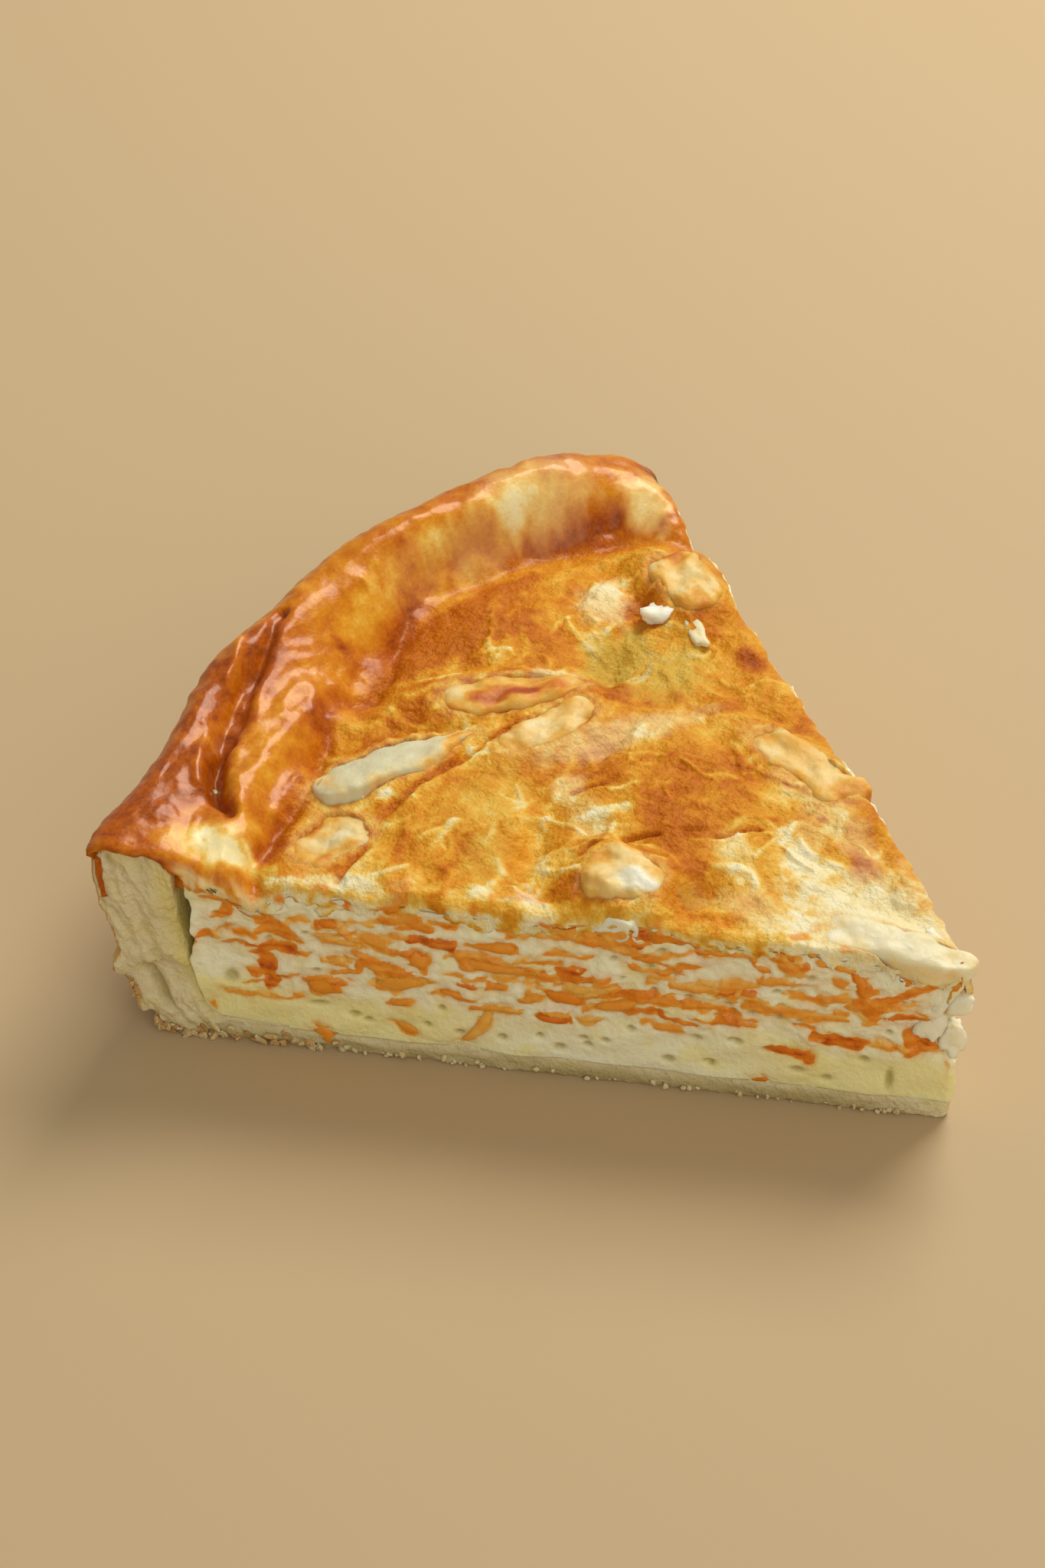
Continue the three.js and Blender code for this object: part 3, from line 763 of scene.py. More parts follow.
carrotStops = [(0.0, "#F0C264"), (0.3, "#EDA43A"), (0.62, "#E88A1C"), (0.88, "#D86E0C"), (1.0, "#B85006")]
randomWalk = {"subsurface_method": "RANDOM_WALK"}
timesAdd = {"operation": "MULTIPLY_ADD"}


# Skin of egg and cheese browned in the oven: moist and grainy on the filling, oily and glossy on the rim
def bakedSkinMaterial():
    material, tree, place = startMaterial("oven_browned_egg_skin")
    marked = markedPlaces(tree, ["bake", "amber", "pale", "shredded", "oily"])
    mottle = addNode(tree, "ShaderNodeTexNoise", {}, grainSize(place, 1.5, 5.0))
    specks = addNode(tree, "ShaderNodeTexNoise", {}, grainSize(place, 0.5, 3.0))
    both = addNode(tree, "ShaderNodeMath", {"operation": "ADD"}, {0: mottle, 1: specks})
    swing = addNode(tree, "ShaderNodeMath", timesAdd, {0: both, 1: 0.24, 2: -0.24})
    bake = addNode(tree, "ShaderNodeMath", {"operation": "ADD"}, {0: marked["bake"], 1: swing})
    stops = [
        (0.0, "#F4EAC0"),
        (0.2, "#F0DC98"),
        (0.35, "#E8BA4C"),
        (0.48, "#DE9C26"),
        (0.6, "#D28410"),
        (0.72, "#C26A02"),
        (0.83, "#AE5202"),
        (0.93, "#8C3C06"),
        (1.0, "#4A1C0A"),
    ]
    browned = addNode(tree, "ShaderNodeValToRGB", {"stops": stops}, {"Fac": bake})
    layers = [(marked["amber"], "#C4A23C"), (marked["pale"], "#F0E6BC"), (marked["shredded"], "#E68A1E")]
    # the filling is drier and grainier than the rim
    dry = addNode(tree, "ShaderNodeMath", {"operation": "SUBTRACT"}, {0: 1.0, 1: marked["oily"]})
    grain = addNode(tree, "ShaderNodeTexNoise", {}, grainSize(place, 0.5, 5.0))
    blobs = {"Vector": place, "Scale": 1 / (1.0 * mm)}
    bubbles = addNode(tree, "ShaderNodeTexVoronoi", {"feature": "SMOOTH_F1"}, blobs, "Distance")
    bumpy = addNode(tree, "ShaderNodeMath", timesAdd, {0: bubbles, 1: 0.6, 2: grain})
    strength = addNode(tree, "ShaderNodeMath", timesAdd, {0: dry, 1: 0.7, 2: 0.12})
    bump = addNode(tree, "ShaderNodeBump", {}, {"Strength": strength, "Distance": 0.45 * mm, "Height": bumpy})
    base = addNode(tree, "ShaderNodeMath", timesAdd, {0: dry, 1: 0.12, 2: 0.22})
    sheen = addNode(tree, "ShaderNodeMath", {"operation": "MULTIPLY"}, {0: marked["oily"], 1: 0.24})
    shader = {
        "Base Color": layered(tree, browned, layers),
        "Roughness": addNode(tree, "ShaderNodeMath", timesAdd, {0: mottle, 1: 0.2, 2: base}),
        "Normal": bump,
        "IOR": 1.45,
        "Specular IOR Level": 0.34,
        "Specular Tint": linear("#FFD8A4"),
        "Coat Weight": sheen,
        "Coat Roughness": 0.14,
        "Subsurface Weight": 0.15,
        "Subsurface Radius": (1.0, 0.45, 0.12),
        "Subsurface Scale": 1.5 * mm,
    }
    finished = addNode(tree, "ShaderNodeBsdfPrincipled", randomWalk, shader)
    addNode(tree, "ShaderNodeOutputMaterial", {}, {"Surface": finished})
    return material


# Set egg custard cut with a knife, with grated carrot in it: dense, moist and slightly translucent
def custardMaterial():
    material, tree, place = startMaterial("set_egg_custard_with_carrot")
    marked = markedPlaces(tree, ["yolk", "milky", "stain", "pore", "tone", "carrot"])
    cloud = addNode(tree, "ShaderNodeTexNoise", {}, grainSize(place, 3.2, 5.0))
    flecks = addNode(tree, "ShaderNodeTexNoise", {}, grainSize(place, 0.8, 4.0))
    fibre = addNode(tree, "ShaderNodeTexNoise", {}, grainSize(place, 1.3, 4.0))
    white = {"Factor": cloud, "A": linear("#ECE6B8"), "B": linear("#F6F3D8")}
    white = addNode(tree, "ShaderNodeMix", {"data_type": "RGBA"}, white, "Result")
    layers = [
        (marked["yolk"], "#F0E6A0"),
        (marked["milky"], "#F0E4C4"),
        (marked["stain"], "#E0A240"),
        # painted shade in the custard's holes
        (marked["pore"], "#AE9A45"),
    ]
    # carrot is brightest where a shred is cut square, paler and clearer where it thins out
    swing = addNode(tree, "ShaderNodeMath", timesAdd, {0: fibre, 1: 0.6, 2: -0.3})
    tone = addNode(tree, "ShaderNodeMath", {"operation": "ADD"}, {0: marked["tone"], 1: swing})
    inside = addNode(tree, "ShaderNodeMath", {"operation": "ADD"}, {0: marked["carrot"], 1: -0.13})
    inside = addNode(tree, "ShaderNodeMath", timesAdd, {0: flecks, 1: 0.26, 2: inside})
    edge = {"Value": inside, "From Min": 0.46, "From Max": 0.56}
    mask = addNode(tree, "ShaderNodeMapRange", {"interpolation_type": "SMOOTHSTEP"}, edge)
    carrot = addNode(tree, "ShaderNodeValToRGB", {"stops": carrotStops}, {"Fac": tone})
    both = {"Factor": mask, "A": layered(tree, white, layers), "B": carrot}
    tall = addNode(tree, "ShaderNodeMath", timesAdd, {0: cloud, 1: 1.2, 2: flecks})
    dull = addNode(tree, "ShaderNodeMath", timesAdd, {0: mask, 1: -0.06, 2: 0.15})
    bumpy = {"Strength": 0.42, "Distance": 0.5 * mm, "Height": tall}
    shader = {
        "Base Color": addNode(tree, "ShaderNodeMix", {"data_type": "RGBA"}, both, "Result"),
        "Roughness": addNode(tree, "ShaderNodeMath", timesAdd, {0: flecks, 1: 0.3, 2: dull}),
        "Normal": addNode(tree, "ShaderNodeBump", {}, bumpy),
        "IOR": 1.4,
        "Specular IOR Level": 0.5,
        "Subsurface Weight": 0.3,
        "Subsurface Radius": (1.0, 0.75, 0.4),
        "Subsurface Scale": 1.6 * mm,
    }
    finished = addNode(tree, "ShaderNodeBsdfPrincipled", randomWalk, shader)
    addNode(tree, "ShaderNodeOutputMaterial", {}, {"Surface": finished})
    return material


# Shortcrust pastry: doughy and fibrous where it was cut and darker towards the bottom of the base, golden and
# dry where it met the tin
def pastryMaterial():
    material, tree, place = startMaterial("baked_shortcrust")
    marked = markedPlaces(tree, ["fold", "soaked", "damp", "bake", "outside"])
    fibre = addNode(tree, "ShaderNodeTexNoise", {}, grainSize(place, 1.3, 6.0))
    crumb = addNode(tree, "ShaderNodeTexNoise", {}, grainSize(place, 0.5, 4.0))
    dough = {"Factor": fibre, "A": linear("#CDB97E"), "B": linear("#ECE2BC")}
    dough = addNode(tree, "ShaderNodeMix", {"data_type": "RGBA"}, dough, "Result")
    # A89455 is painted shade in the wall cut's recessed folds and its cavity
    layers = [(marked["fold"], "#A89455"), (marked["soaked"], "#E2D27F"), (marked["damp"], "#AD9D66")]
    swing = addNode(tree, "ShaderNodeMath", timesAdd, {0: fibre, 1: 0.5, 2: -0.25})
    bake = addNode(tree, "ShaderNodeMath", {"operation": "ADD"}, {0: marked["bake"], 1: swing})
    stops = [
        (0.0, "#E9DBAE"),
        (0.35, "#DDB976"),
        (0.6, "#C8903F"),
        (0.8, "#A3661F"),
        (0.93, "#6A3410"),
        (1.0, "#371809"),
    ]
    browned = addNode(tree, "ShaderNodeValToRGB", {"stops": stops}, {"Fac": bake})
    both = {"Factor": marked["outside"], "A": layered(tree, dough, layers), "B": browned}
    tall = addNode(tree, "ShaderNodeMath", timesAdd, {0: fibre, 1: 1.6, 2: crumb})
    bumpy = {"Strength": 0.7, "Distance": 0.45 * mm, "Height": tall}
    shader = {
        "Base Color": addNode(tree, "ShaderNodeMix", {"data_type": "RGBA"}, both, "Result"),
        "Roughness": 0.62,
        "Normal": addNode(tree, "ShaderNodeBump", {}, bumpy),
        "IOR": 1.45,
        "Subsurface Weight": 0.2,
        "Subsurface Radius": (1.0, 0.7, 0.4),
        "Subsurface Scale": 1.5 * mm,
    }
    finished = addNode(tree, "ShaderNodeBsdfPrincipled", randomWalk, shader)
    addNode(tree, "ShaderNodeOutputMaterial", {}, {"Surface": finished})
    return material


# Grated carrot cooked in the custard: wet, bright and slightly see-through at the ends
def carrotMaterial():
    material, tree, place = startMaterial("cooked_grated_carrot")
    marked = markedPlaces(tree, ["tone"])
    fibre = addNode(tree, "ShaderNodeTexNoise", {}, grainSize(place, 1.2, 4.0))
    swing = addNode(tree, "ShaderNodeMath", timesAdd, {0: fibre, 1: 0.5, 2: -0.25})
    tone = addNode(tree, "ShaderNodeMath", {"operation": "ADD"}, {0: marked["tone"], 1: swing})
    bumpy = {"Strength": 0.35, "Distance": 0.3 * mm, "Height": fibre}
    shader = {
        "Base Color": addNode(tree, "ShaderNodeValToRGB", {"stops": carrotStops}, {"Fac": tone}),
        "Roughness": 0.34,
        "Normal": addNode(tree, "ShaderNodeBump", {}, bumpy),
        "IOR": 1.4,
        "Specular IOR Level": 0.32,
        "Subsurface Weight": 0.25,
        "Subsurface Radius": (1.0, 0.4, 0.1),
        "Subsurface Scale": 1.5 * mm,
    }
    finished = addNode(tree, "ShaderNodeBsdfPrincipled", randomWalk, shader)
    addNode(tree, "ShaderNodeOutputMaterial", {}, {"Surface": finished})
    return material


# Soft white cheese melted under heat: creamy, smooth and waxy, toasted where it stands proud
def cheeseMaterial():
    material, tree, place = startMaterial("melted_soft_cheese")
    marked = markedPlaces(tree, ["toast", "clear"])
    cloud = addNode(tree, "ShaderNodeTexNoise", {}, grainSize(place, 1.9, 5.0))
    fine = addNode(tree, "ShaderNodeTexNoise", {}, grainSize(place, 0.7, 3.0))
    swing = addNode(tree, "ShaderNodeMath", timesAdd, {0: cloud, 1: 0.26, 2: -0.13})
    toast = addNode(tree, "ShaderNodeMath", {"operation": "ADD"}, {0: marked["toast"], 1: swing})
    stops = [
        (0.0, "#F1EDD6"),
        (0.16, "#ECE0B4"),
        (0.32, "#E8CB86"),
        (0.48, "#E0AA44"),
        (0.64, "#CF7F26"),
        (0.8, "#B45420"),
        (1.0, "#6E2410"),
    ]
    toasted = addNode(tree, "ShaderNodeValToRGB", {"stops": stops}, {"Fac": toast})
    bumpy = {"Strength": 0.35, "Distance": 0.4 * mm, "Height": fine}
    shader = {
        "Base Color": layered(tree, toasted, [(marked["clear"], "#C2BE98")]),
        "Roughness": 0.5,
        "Specular IOR Level": 0.3,
        "Normal": addNode(tree, "ShaderNodeBump", {}, bumpy),
        "IOR": 1.44,
        "Subsurface Weight": 0.4,
        "Subsurface Radius": (1.0, 0.8, 0.5),
        "Subsurface Scale": 2.2 * mm,
    }
    finished = addNode(tree, "ShaderNodeBsdfPrincipled", randomWalk, shader)
    addNode(tree, "ShaderNodeOutputMaterial", {}, {"Surface": finished})
    return material


def floorMaterial():
    material, tree, _ = startMaterial("pale_matt_board")
    paint = {"Base Color": linear("#BFA67D"), "Roughness": 0.75}
    finished = addNode(tree, "ShaderNodeBsdfPrincipled", {}, paint)
    addNode(tree, "ShaderNodeOutputMaterial", {}, {"Surface": finished})
    return material


skinFinish = bakedSkinMaterial()
custardFinish = custardMaterial()
pastryFinish = pastryMaterial()
carrotFinish = carrotMaterial()
cheeseFinish = cheeseMaterial()
print("materials made")


# Browned skin: one sheet over the filling and the rim, draped over both cuts' edges and down the wall
skin = {
    "across": 330,
    "round": 276,
    "lip": 5.4,
    "tipLip": 2.6,
    "wrap": 6.5,
    "proud": 0.3,
    "dive": 0.9,
    "floor": 20.5,
    "shrink": 0.85,
}


def bakedSkin():
    piece, u, v = gridPiece("browned_skin", skin["across"], skin["round"])
    wide = math.radians(wedge["angle"])
    reach = -skin["tipLip"] + u * (wedge["rimRadius"] + skin["tipLip"] + skin["wrap"])
    inset, tipDrop, _ = overEdge(np.minimum(reach, 90), 1.4)
    radius = np.where(reach > 1.4, reach, 0.8 + inset * 0.43) + 1.4 * smoothstep(-reach, 1.5, 2.5)
    edgeAt = wedge["rimRadius"] - 0.4
    wrap = np.maximum(reach - edgeAt, 0)
    radius = np.minimum(radius, edgeAt)

    arc = radius * wide
    c = -skin["lip"] + v * (arc + 2 * skin["lip"])
    onFar = c > arc / 2
    roundness = np.where(onFar, edgeRoundness(reach, True), edgeRoundness(reach, False))
    roundness = np.minimum(roundness, 0.45 * arc + 0.3)
    side, drop, bend = overEdge(np.where(onFar, arc - c, c), roundness)
    angle = np.where(onFar, wide - side / radius, side / radius)
    degrees = np.degrees(angle)
    along, inward = radius * np.cos(angle), radius * np.sin(angle)
    relief, bake, pale, amber, onRim = topDetail(along, inward)
    height = topHeight(along, inward) + relief * (1 - 0.6 * bend) - wrap - tipDrop

    # down the outer wall, where the sheet's end turns into the pastry
    edge = spaced(angle * 105, 0, 0)
    wrapEnd = 4.6 + 1.9 * noise(edge, 6, 52) + 1.0 * noise(edge, 1.7, 53)
    wrapEnd = wrapEnd * (1 - 0.93 * smoothstep(degrees, 3.5, 0.8))
    swell = eased(top["crestSwells"], degrees) + 0.5 * noise(edge, 9, 51)
    wallRadius = straight(outerFace, height) + swell + skin["proud"] + 0.25 * noise(edge, 2.2, 54)
    outward = smoothstep(radius, 98, edgeAt)
    radius = radius * (1 + outward * (wallRadius / edgeAt - 1))
    radius -= skin["dive"] * smoothstep(wrap, wrapEnd - 0.3, wrapEnd + 0.5)

    # past each cut's edge: down the cut, or across it where the wall turns the corner
    turnIn = math.pi / 2 * smoothstep(reach, 101.5, 107.5)
    radius = radius - drop * np.sin(turnIn)
    height = height - drop * np.cos(turnIn)
    past = drop - roundness
    plan = onPlan(radius * np.cos(angle), radius * np.sin(angle))
    for far, out in ((False, nearOut), (True, farOut)):
        run = spaced(radius, 9.0 if far else 0.0, 0)
        lipEnd = 1.5 + 1.7 * noise(run, 4.5, 55) + 1.1 * noise(run, 1.3, 56)
        lipEnd = np.clip(lipEnd, 0.1, 4.3) * (1 - 0.85 * smoothstep(radius, 94, 98))
        lipEnd = np.minimum(lipEnd, skin["lip"] - 0.571 * roundness - 0.5)
        lumps = 0.3 * noise(spaced(radius, height, 3), 1.6, 57)
        push = (cutSurface(radius, height, far) + 0.16 + lumps) * bend
        push -= (skin["dive"] + 1.2 * smoothstep(radius, 92, 96)) * smoothstep(past, lipEnd, lipEnd + 0.35)
        plan = plan + ((onFar == far) * push)[:, None] * out
    placePoints(piece, np.column_stack([plan, height]))

    cutTint = smoothstep(drop, 0.1, 1.4)
    melted = noise(spaced(c, radius, 0), 2.4, 58) + 0.6 * noise(spaced(c, radius, 0), 1.0, 59)
    rimTint = smoothstep(radius, 94, 97)
    bake = bake - cutTint * (0.2 - 0.3 * rimTint - 0.3 * melted)
    beside = smoothstep(c, 6.5, 0.5) * smoothstep(radius, 8, 20) * smoothstep(radius, 90, 82)
    bake = bake - beside * (0.1 - 0.14 * melted)
    finer = noise(spaced(1.5 * c, radius, 9), 3.4, 60) + 0.3 * melted
    shredded = np.maximum(cutTint * (1 - rimTint), 0.8 * beside) * smoothstep(finer, 0.24, 0.42)
    pale = pale + 0.5 * cutTint * (1 - rimTint) * smoothstep(melted, 0.1, -0.3)
    corner = smoothstep(degrees, 2.4, 0.3) * smoothstep(radius, 101, 104.5)
    bake += 0.1 * smoothstep(wrap, 0, 3) + 0.1 * corner + 0.08 * np.exp(-((wrap / 1.5) ** 2))
    paint(piece, "bake", bake)
    paint(piece, "pale", pale)
    paint(piece, "amber", amber)
    paint(piece, "shredded", shredded)
    paint(piece, "oily", onRim * 0.95)

    # the hidden underside: the border goes in, then down, and is closed
    middle = onPlan(np.array([57.0]), np.array([34.0]))[0]
    makeActive(piece)
    bpy.ops.object.mode_set(mode="EDIT")
    bpy.ops.mesh.select_all(action="SELECT")
    bpy.ops.mesh.region_to_loop()
    for goesIn in (True, False):
        bpy.ops.mesh.extrude_edges_move()
        bpy.ops.object.mode_set(mode="OBJECT")
        chosen = np.zeros(len(piece.data.vertices), bool)
        piece.data.vertices.foreach_get("select", chosen)
        points = pointsOf(piece)
        if goesIn:
            points[chosen, :2] = middle + (points[chosen, :2] - middle) * skin["shrink"]
            points[chosen, 2] -= 0.5
        else:
            points[chosen, 2] = skin["floor"]
        placePoints(piece, points)
        bpy.ops.object.mode_set(mode="EDIT")
    bpy.ops.mesh.edge_face_add()
    bpy.ops.mesh.quads_convert_to_tris()
    bpy.ops.object.mode_set(mode="OBJECT")
    outwardNormals(piece)
    piece.data.materials.append(skinFinish)
    smoothShade(piece)
    return piece


# Carrot shreds of the near cut that the photo shows, as (along, height, long, thick, tilt)
shownShreds = [
    (44.5, 24, 11, 4.2, 2), (53, 26, 7.5, 2.4, 4), (68, 24.2, 4.4, 2.4, -6), (76.8, 21, 3.6, 1.4, 0),
    (72.2, 22, 4.6, 1, 3), (75.8, 18.4, 5.6, 1.5, 4), (71.4, 18.9, 5, 2.2, 14), (64.3, 19.8, 7, 1.9, 7),
    (57, 20.2, 6.4, 1.5, -5), (55, 23.5, 3.4, 2, 10), (55.2, 16.7, 12.4, 1.9, 5),
    (45.5, 16.8, 6.6, 1.2, -6), (56.5, 13.7, 3.4, 1.5, -3), (52.3, 12.5, 3.2, 1.9, -40),
    (48.1, 13.3, 4.6, 2.4, -4), (44.7, 14.9, 7.4, 1.9, -3), (70.5, 15, 3.2, 6.4, 80),
    (68.3, 12.6, 4.4, 4.4, 20), (65.9, 16.7, 3.2, 3, 30), (78, 10.9, 4.4, 3.6, -10),
    (68.3, 9.5, 3.2, 1.3, 0), (61.9, 11.8, 3.4, 0.9, 4), (58.6, 7, 7.4, 1.7, -62), (56.4, 10, 6.4, 1.3, -3),
    (49.5, 9.7, 4.4, 1.3, 4), (44.6, 9.8, 3.8, 1.5, -6), (41.9, 12.9, 5.4, 1.8, -8), (67.5, 5, 2.4, 2.2, 0),
    (78, 2.6, 3.2, 3, 30), (76.5, 15.2, 3.2, 1.3, 5), (33.8, 26, 5.2, 1.9, -3), (27.1, 25.6, 4.2, 1.9, 12),
    (22.1, 24.6, 4.4, 2.6, 14), (17.1, 25.2, 4.8, 1.9, -14), (28.8, 23.1, 7.8, 1.2, -5),
    (20.9, 21.8, 4.4, 2, 38), (14.7, 22.9, 7, 1.4, 18), (12.9, 20.9, 4.4, 1.8, 56),
    (38.2, 20.9, 3.2, 1.6, -8), (35.4, 19.4, 3, 1.2, -20), (32.4, 17.4, 6.2, 1.9, -6),
    (24.8, 19, 11, 1.7, -13), (35.7, 14.7, 4.4, 2.4, -5), (28.6, 16, 3.4, 0.9, 4), (30.1, 14, 8, 1.4, 6),
    (20.1, 15, 13, 2.1, 2), (15.9, 17.9, 4.2, 1.2, -10), (39.4, 12.6, 6, 1.5, -5),
    (36.2, 10.2, 5.2, 1.4, 8), (28.4, 12.1, 4.4, 1.3, -6), (20.7, 8.3, 6.2, 1.8, 10),
    (14.9, 11.2, 7.2, 2, 8), (11.2, 17.4, 5.4, 3.6, 4), (6.5, 20.2, 5.6, 1.8, -34), (7, 17.9, 4.2, 1.5, 4),
    (10.4, 15.2, 4, 1.2, -3), (4.8, 12.6, 4, 5, 60), (9, 11.1, 3.6, 1.4, 12), (24.1, 2.9, 2.4, 1.4, -8),
    (92.1, 26, 2.8, 1.4, -50), (89.5, 22.2, 3.8, 1.5, -60), (93.2, 16.4, 5, 1.6, -40),
    (83.8, 19.6, 4.4, 3.6, 62), (81.4, 20.7, 3.8, 1.1, -30), (84.8, 12.5, 6.4, 2.8, 72),
    (85.2, 8.3, 10, 0.9, -3), (92.1, 4.4, 2.4, 1.8, 60), (90.2, 18.6, 4.4, 1.4, -40),
    (87.4, 18.3, 3.2, 1.3, 6), (40, 24.1, 5.6, 3.6, -8), (60.5, 24.6, 3.6, 1.3, 10),
    (47.4, 20.2, 6, 0.9, 4), (66.5, 21.6, 5, 0.9, -2), (0.6, 8.8, 1.6, 2.6, 0), (51, 18.6, 5.4, 0.8, 0),
    (60.2, 14.8, 4.6, 0.9, 6), (18, 13, 5, 0.8, 2),
]
shreds = {
    "seed": 7,
    "fineNear": 70,
    "far": 135,
    "perCut": 46,
    "along": (9, 88),
    "height": (10.6, 23.6),
    "long": (4, 11),
    "thick": (0.9, 2),
    "tilt": 9,
    "proudCount": 40,
}


def spread(n, step):
    return (0.5 + n * step) % 1


def between(limits, t):
    return limits[0] + (limits[1] - limits[0]) * t


def packedShreds(far):
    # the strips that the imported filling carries, by the same rule
    made = []
    for n in range(shreds["perCut"]):
        place = n + (0.5 if far else 0)
        made.append(
            (
                between(shreds["along"], spread(place, 0.7549)),
                between(shreds["height"], spread(place, 0.5698)),
                between(shreds["long"], spread(place, 0.618)),
                between(shreds["thick"], spread(place, 0.4142)),
                between((-shreds["tilt"], shreds["tilt"]), spread(place, 0.732)),
            )
        )
    return made


def looseShreds(rng, count, low, high):
    made = []
    for _ in range(count):
        height = low + (high - low) * rng.beta(1.5, 1.6)
        tilt = rng.normal(0, 8) + (rng.uniform(-60, 60) if rng.random() < 0.12 else 0)
        thick = rng.uniform(0.5, 1.3) * (1.6 if rng.random() < 0.15 else 1)
        made.append((rng.uniform(3, 92), height, rng.uniform(2.2, 8), thick, tilt))
    return made


def shapedShreds(rng, group):
    # each shred with its own bend, taper, slanted ends, tone and height above the cut
    return [
        {
            "shape": shred,
            "bend": rng.normal(0, 0.05) * shred[2],
            "taper": rng.uniform(-0.5, 0.5),
            "skew": rng.uniform(-0.9, 0.9),
            "tone": float(np.clip(rng.normal(0.5, 0.17), 0.1, 0.85)),
            "lift": rng.normal(0.08, 0.13),
        }
        for shred in group
    ]


def shredDistance(run, level, shred):
    along, height, long, thick, tilt = shred["shape"]
    t = math.radians(tilt)
    da, dz = run - along, level - height
    x = da * math.cos(t) + dz * math.sin(t)
    y = dz * math.cos(t) - da * math.sin(t)
    x = x + shred["skew"] * y
    y = y - shred["bend"] * ((2 * x / long) ** 2 - 0.5)
    half = thick / 2 * np.clip(1 + shred["taper"] * 2 * x / long, 0.35, 1.5)
    corner = min(0.3 * thick, 0.5)
    qx, qy = np.abs(x) - (long / 2 - corner), np.abs(y) - (half - corner)
    return np.hypot(np.maximum(qx, 0), np.maximum(qy, 0)) + np.minimum(np.maximum(qx, qy), 0) - corner


def roundPrototype(segments, rings):
    deselectAll()
    bpy.ops.mesh.primitive_uv_sphere_add(segments=segments, ring_count=rings, radius=1)
    prototype = bpy.context.object
    bpy.ops.object.mode_set(mode="EDIT")
    bpy.ops.mesh.select_all(action="SELECT")
    bpy.ops.transform.rotate(value=math.pi / 2, orient_axis="Y", center_override=(0, 0, 0))
    bpy.ops.object.mode_set(mode="OBJECT")
    points = pointsOf(prototype) * mm
    faces = [list(p.vertices) for p in prototype.data.polygons]
    bpy.data.objects.remove(prototype)
    return points, faces


def carrotShreds(rng, near, far):
    # the boldest shreds also stand a little out of the cut
    points, faces = roundPrototype(10, 11)
    allPoints, allFaces, tones = [], [], []
    start = 0
    for isFar, group in ((False, near[: shreds["proudCount"]]), (True, far[: shreds["proudCount"]])):
        way, out = (farWay, farOut) if isFar else (nearWay, nearOut)
        for shred in group:
            along, height, long, thick, tilt = shred["shape"]
            if height + thick / 2 > 22.4:
                continue
            x = np.sign(points[:, 0]) * np.abs(points[:, 0]) ** 0.7
            girth = np.clip(1 + shred["taper"] * x, 0.35, 1.5) * 0.84
            y = np.sign(points[:, 1]) * np.abs(points[:, 1]) ** 0.7 * 0.75
            z = np.sign(points[:, 2]) * np.abs(points[:, 2]) ** 0.6 * thick / 2 * girth
            z = z + shred["bend"] * (x * x - 0.5)
            y = y + rng.normal(-0.1, 0.1) + 0.1 * np.sin(2 * x + rng.uniform(0, 6))
            x = x * long / 2 * 0.9 - shred["skew"] * z
            t = math.radians(tilt)
            run = along + x * math.cos(t) - z * math.sin(t)
            level = height + x * math.sin(t) + z * math.cos(t)
            outward = cutSurface(run, level, isFar) + y - 0.42
            plan = tip + run[:, None] * way + outward[:, None] * out
            allPoints.append(np.column_stack([plan, level]))
            allFaces += [[start + i for i in face] for face in faces]
            tones.append(np.full(len(points), shred["tone"]))
            start += len(points)
    piece = meshPiece("carrot_shreds", np.concatenate(allPoints), allFaces)
    paint(piece, "tone", np.concatenate(tones))
    outwardNormals(piece)
    piece.data.materials.append(carrotFinish)
    smoothShade(piece)
    return piece


# Custard of both layers as one body, since no seam shows between them: a sleeve round the two cuts and
# the wall, closed below and under the skin
custard = {
    "cutColumns": 385,
    "tipColumns": 8,
    "backColumns": 60,
    "sideRows": 88,
    "capRows": 9,
    "foot": 2.9,
    "sinkTop": 0.55,
    "deepTop": 3.2,
}
# Small holes in the plain custard of the near cut, as (along, height, long, high)
shownPores = [
    (31.9, 8.8, 1.1, 0.5), (26.9, 9.3, 1, 0.5), (35.2, 5, 1.4, 0.8), (19.5, 5.8, 1.7, 0.7),
    (16, 4.6, 1.2, 0.6), (11.6, 8.4, 1, 0.8), (48.6, 4.8, 1.2, 0.8), (60.9, 5.6, 1, 0.6),
    (55.7, 5.4, 1, 0.6), (78.6, 7.6, 2.2, 0.5), (74, 6.6, 1.3, 0.5), (89.4, 10.4, 1.6, 1.4),
    (8.4, 5.6, 0.7, 3.2), (43, 7, 0.8, 0.4), (65, 6.2, 0.8, 0.5),
]
# Pale cheese cut through in the near cut, as (along, height, long, high)
shownCheese = [
    (77, 24.6, 12, 1.9), (62, 24.4, 9, 1.6), (31, 21.6, 5, 1.2), (18, 20.2, 5, 1.1), (49, 11.4, 5, 1.2),
    (8, 15, 5, 1.4),
]


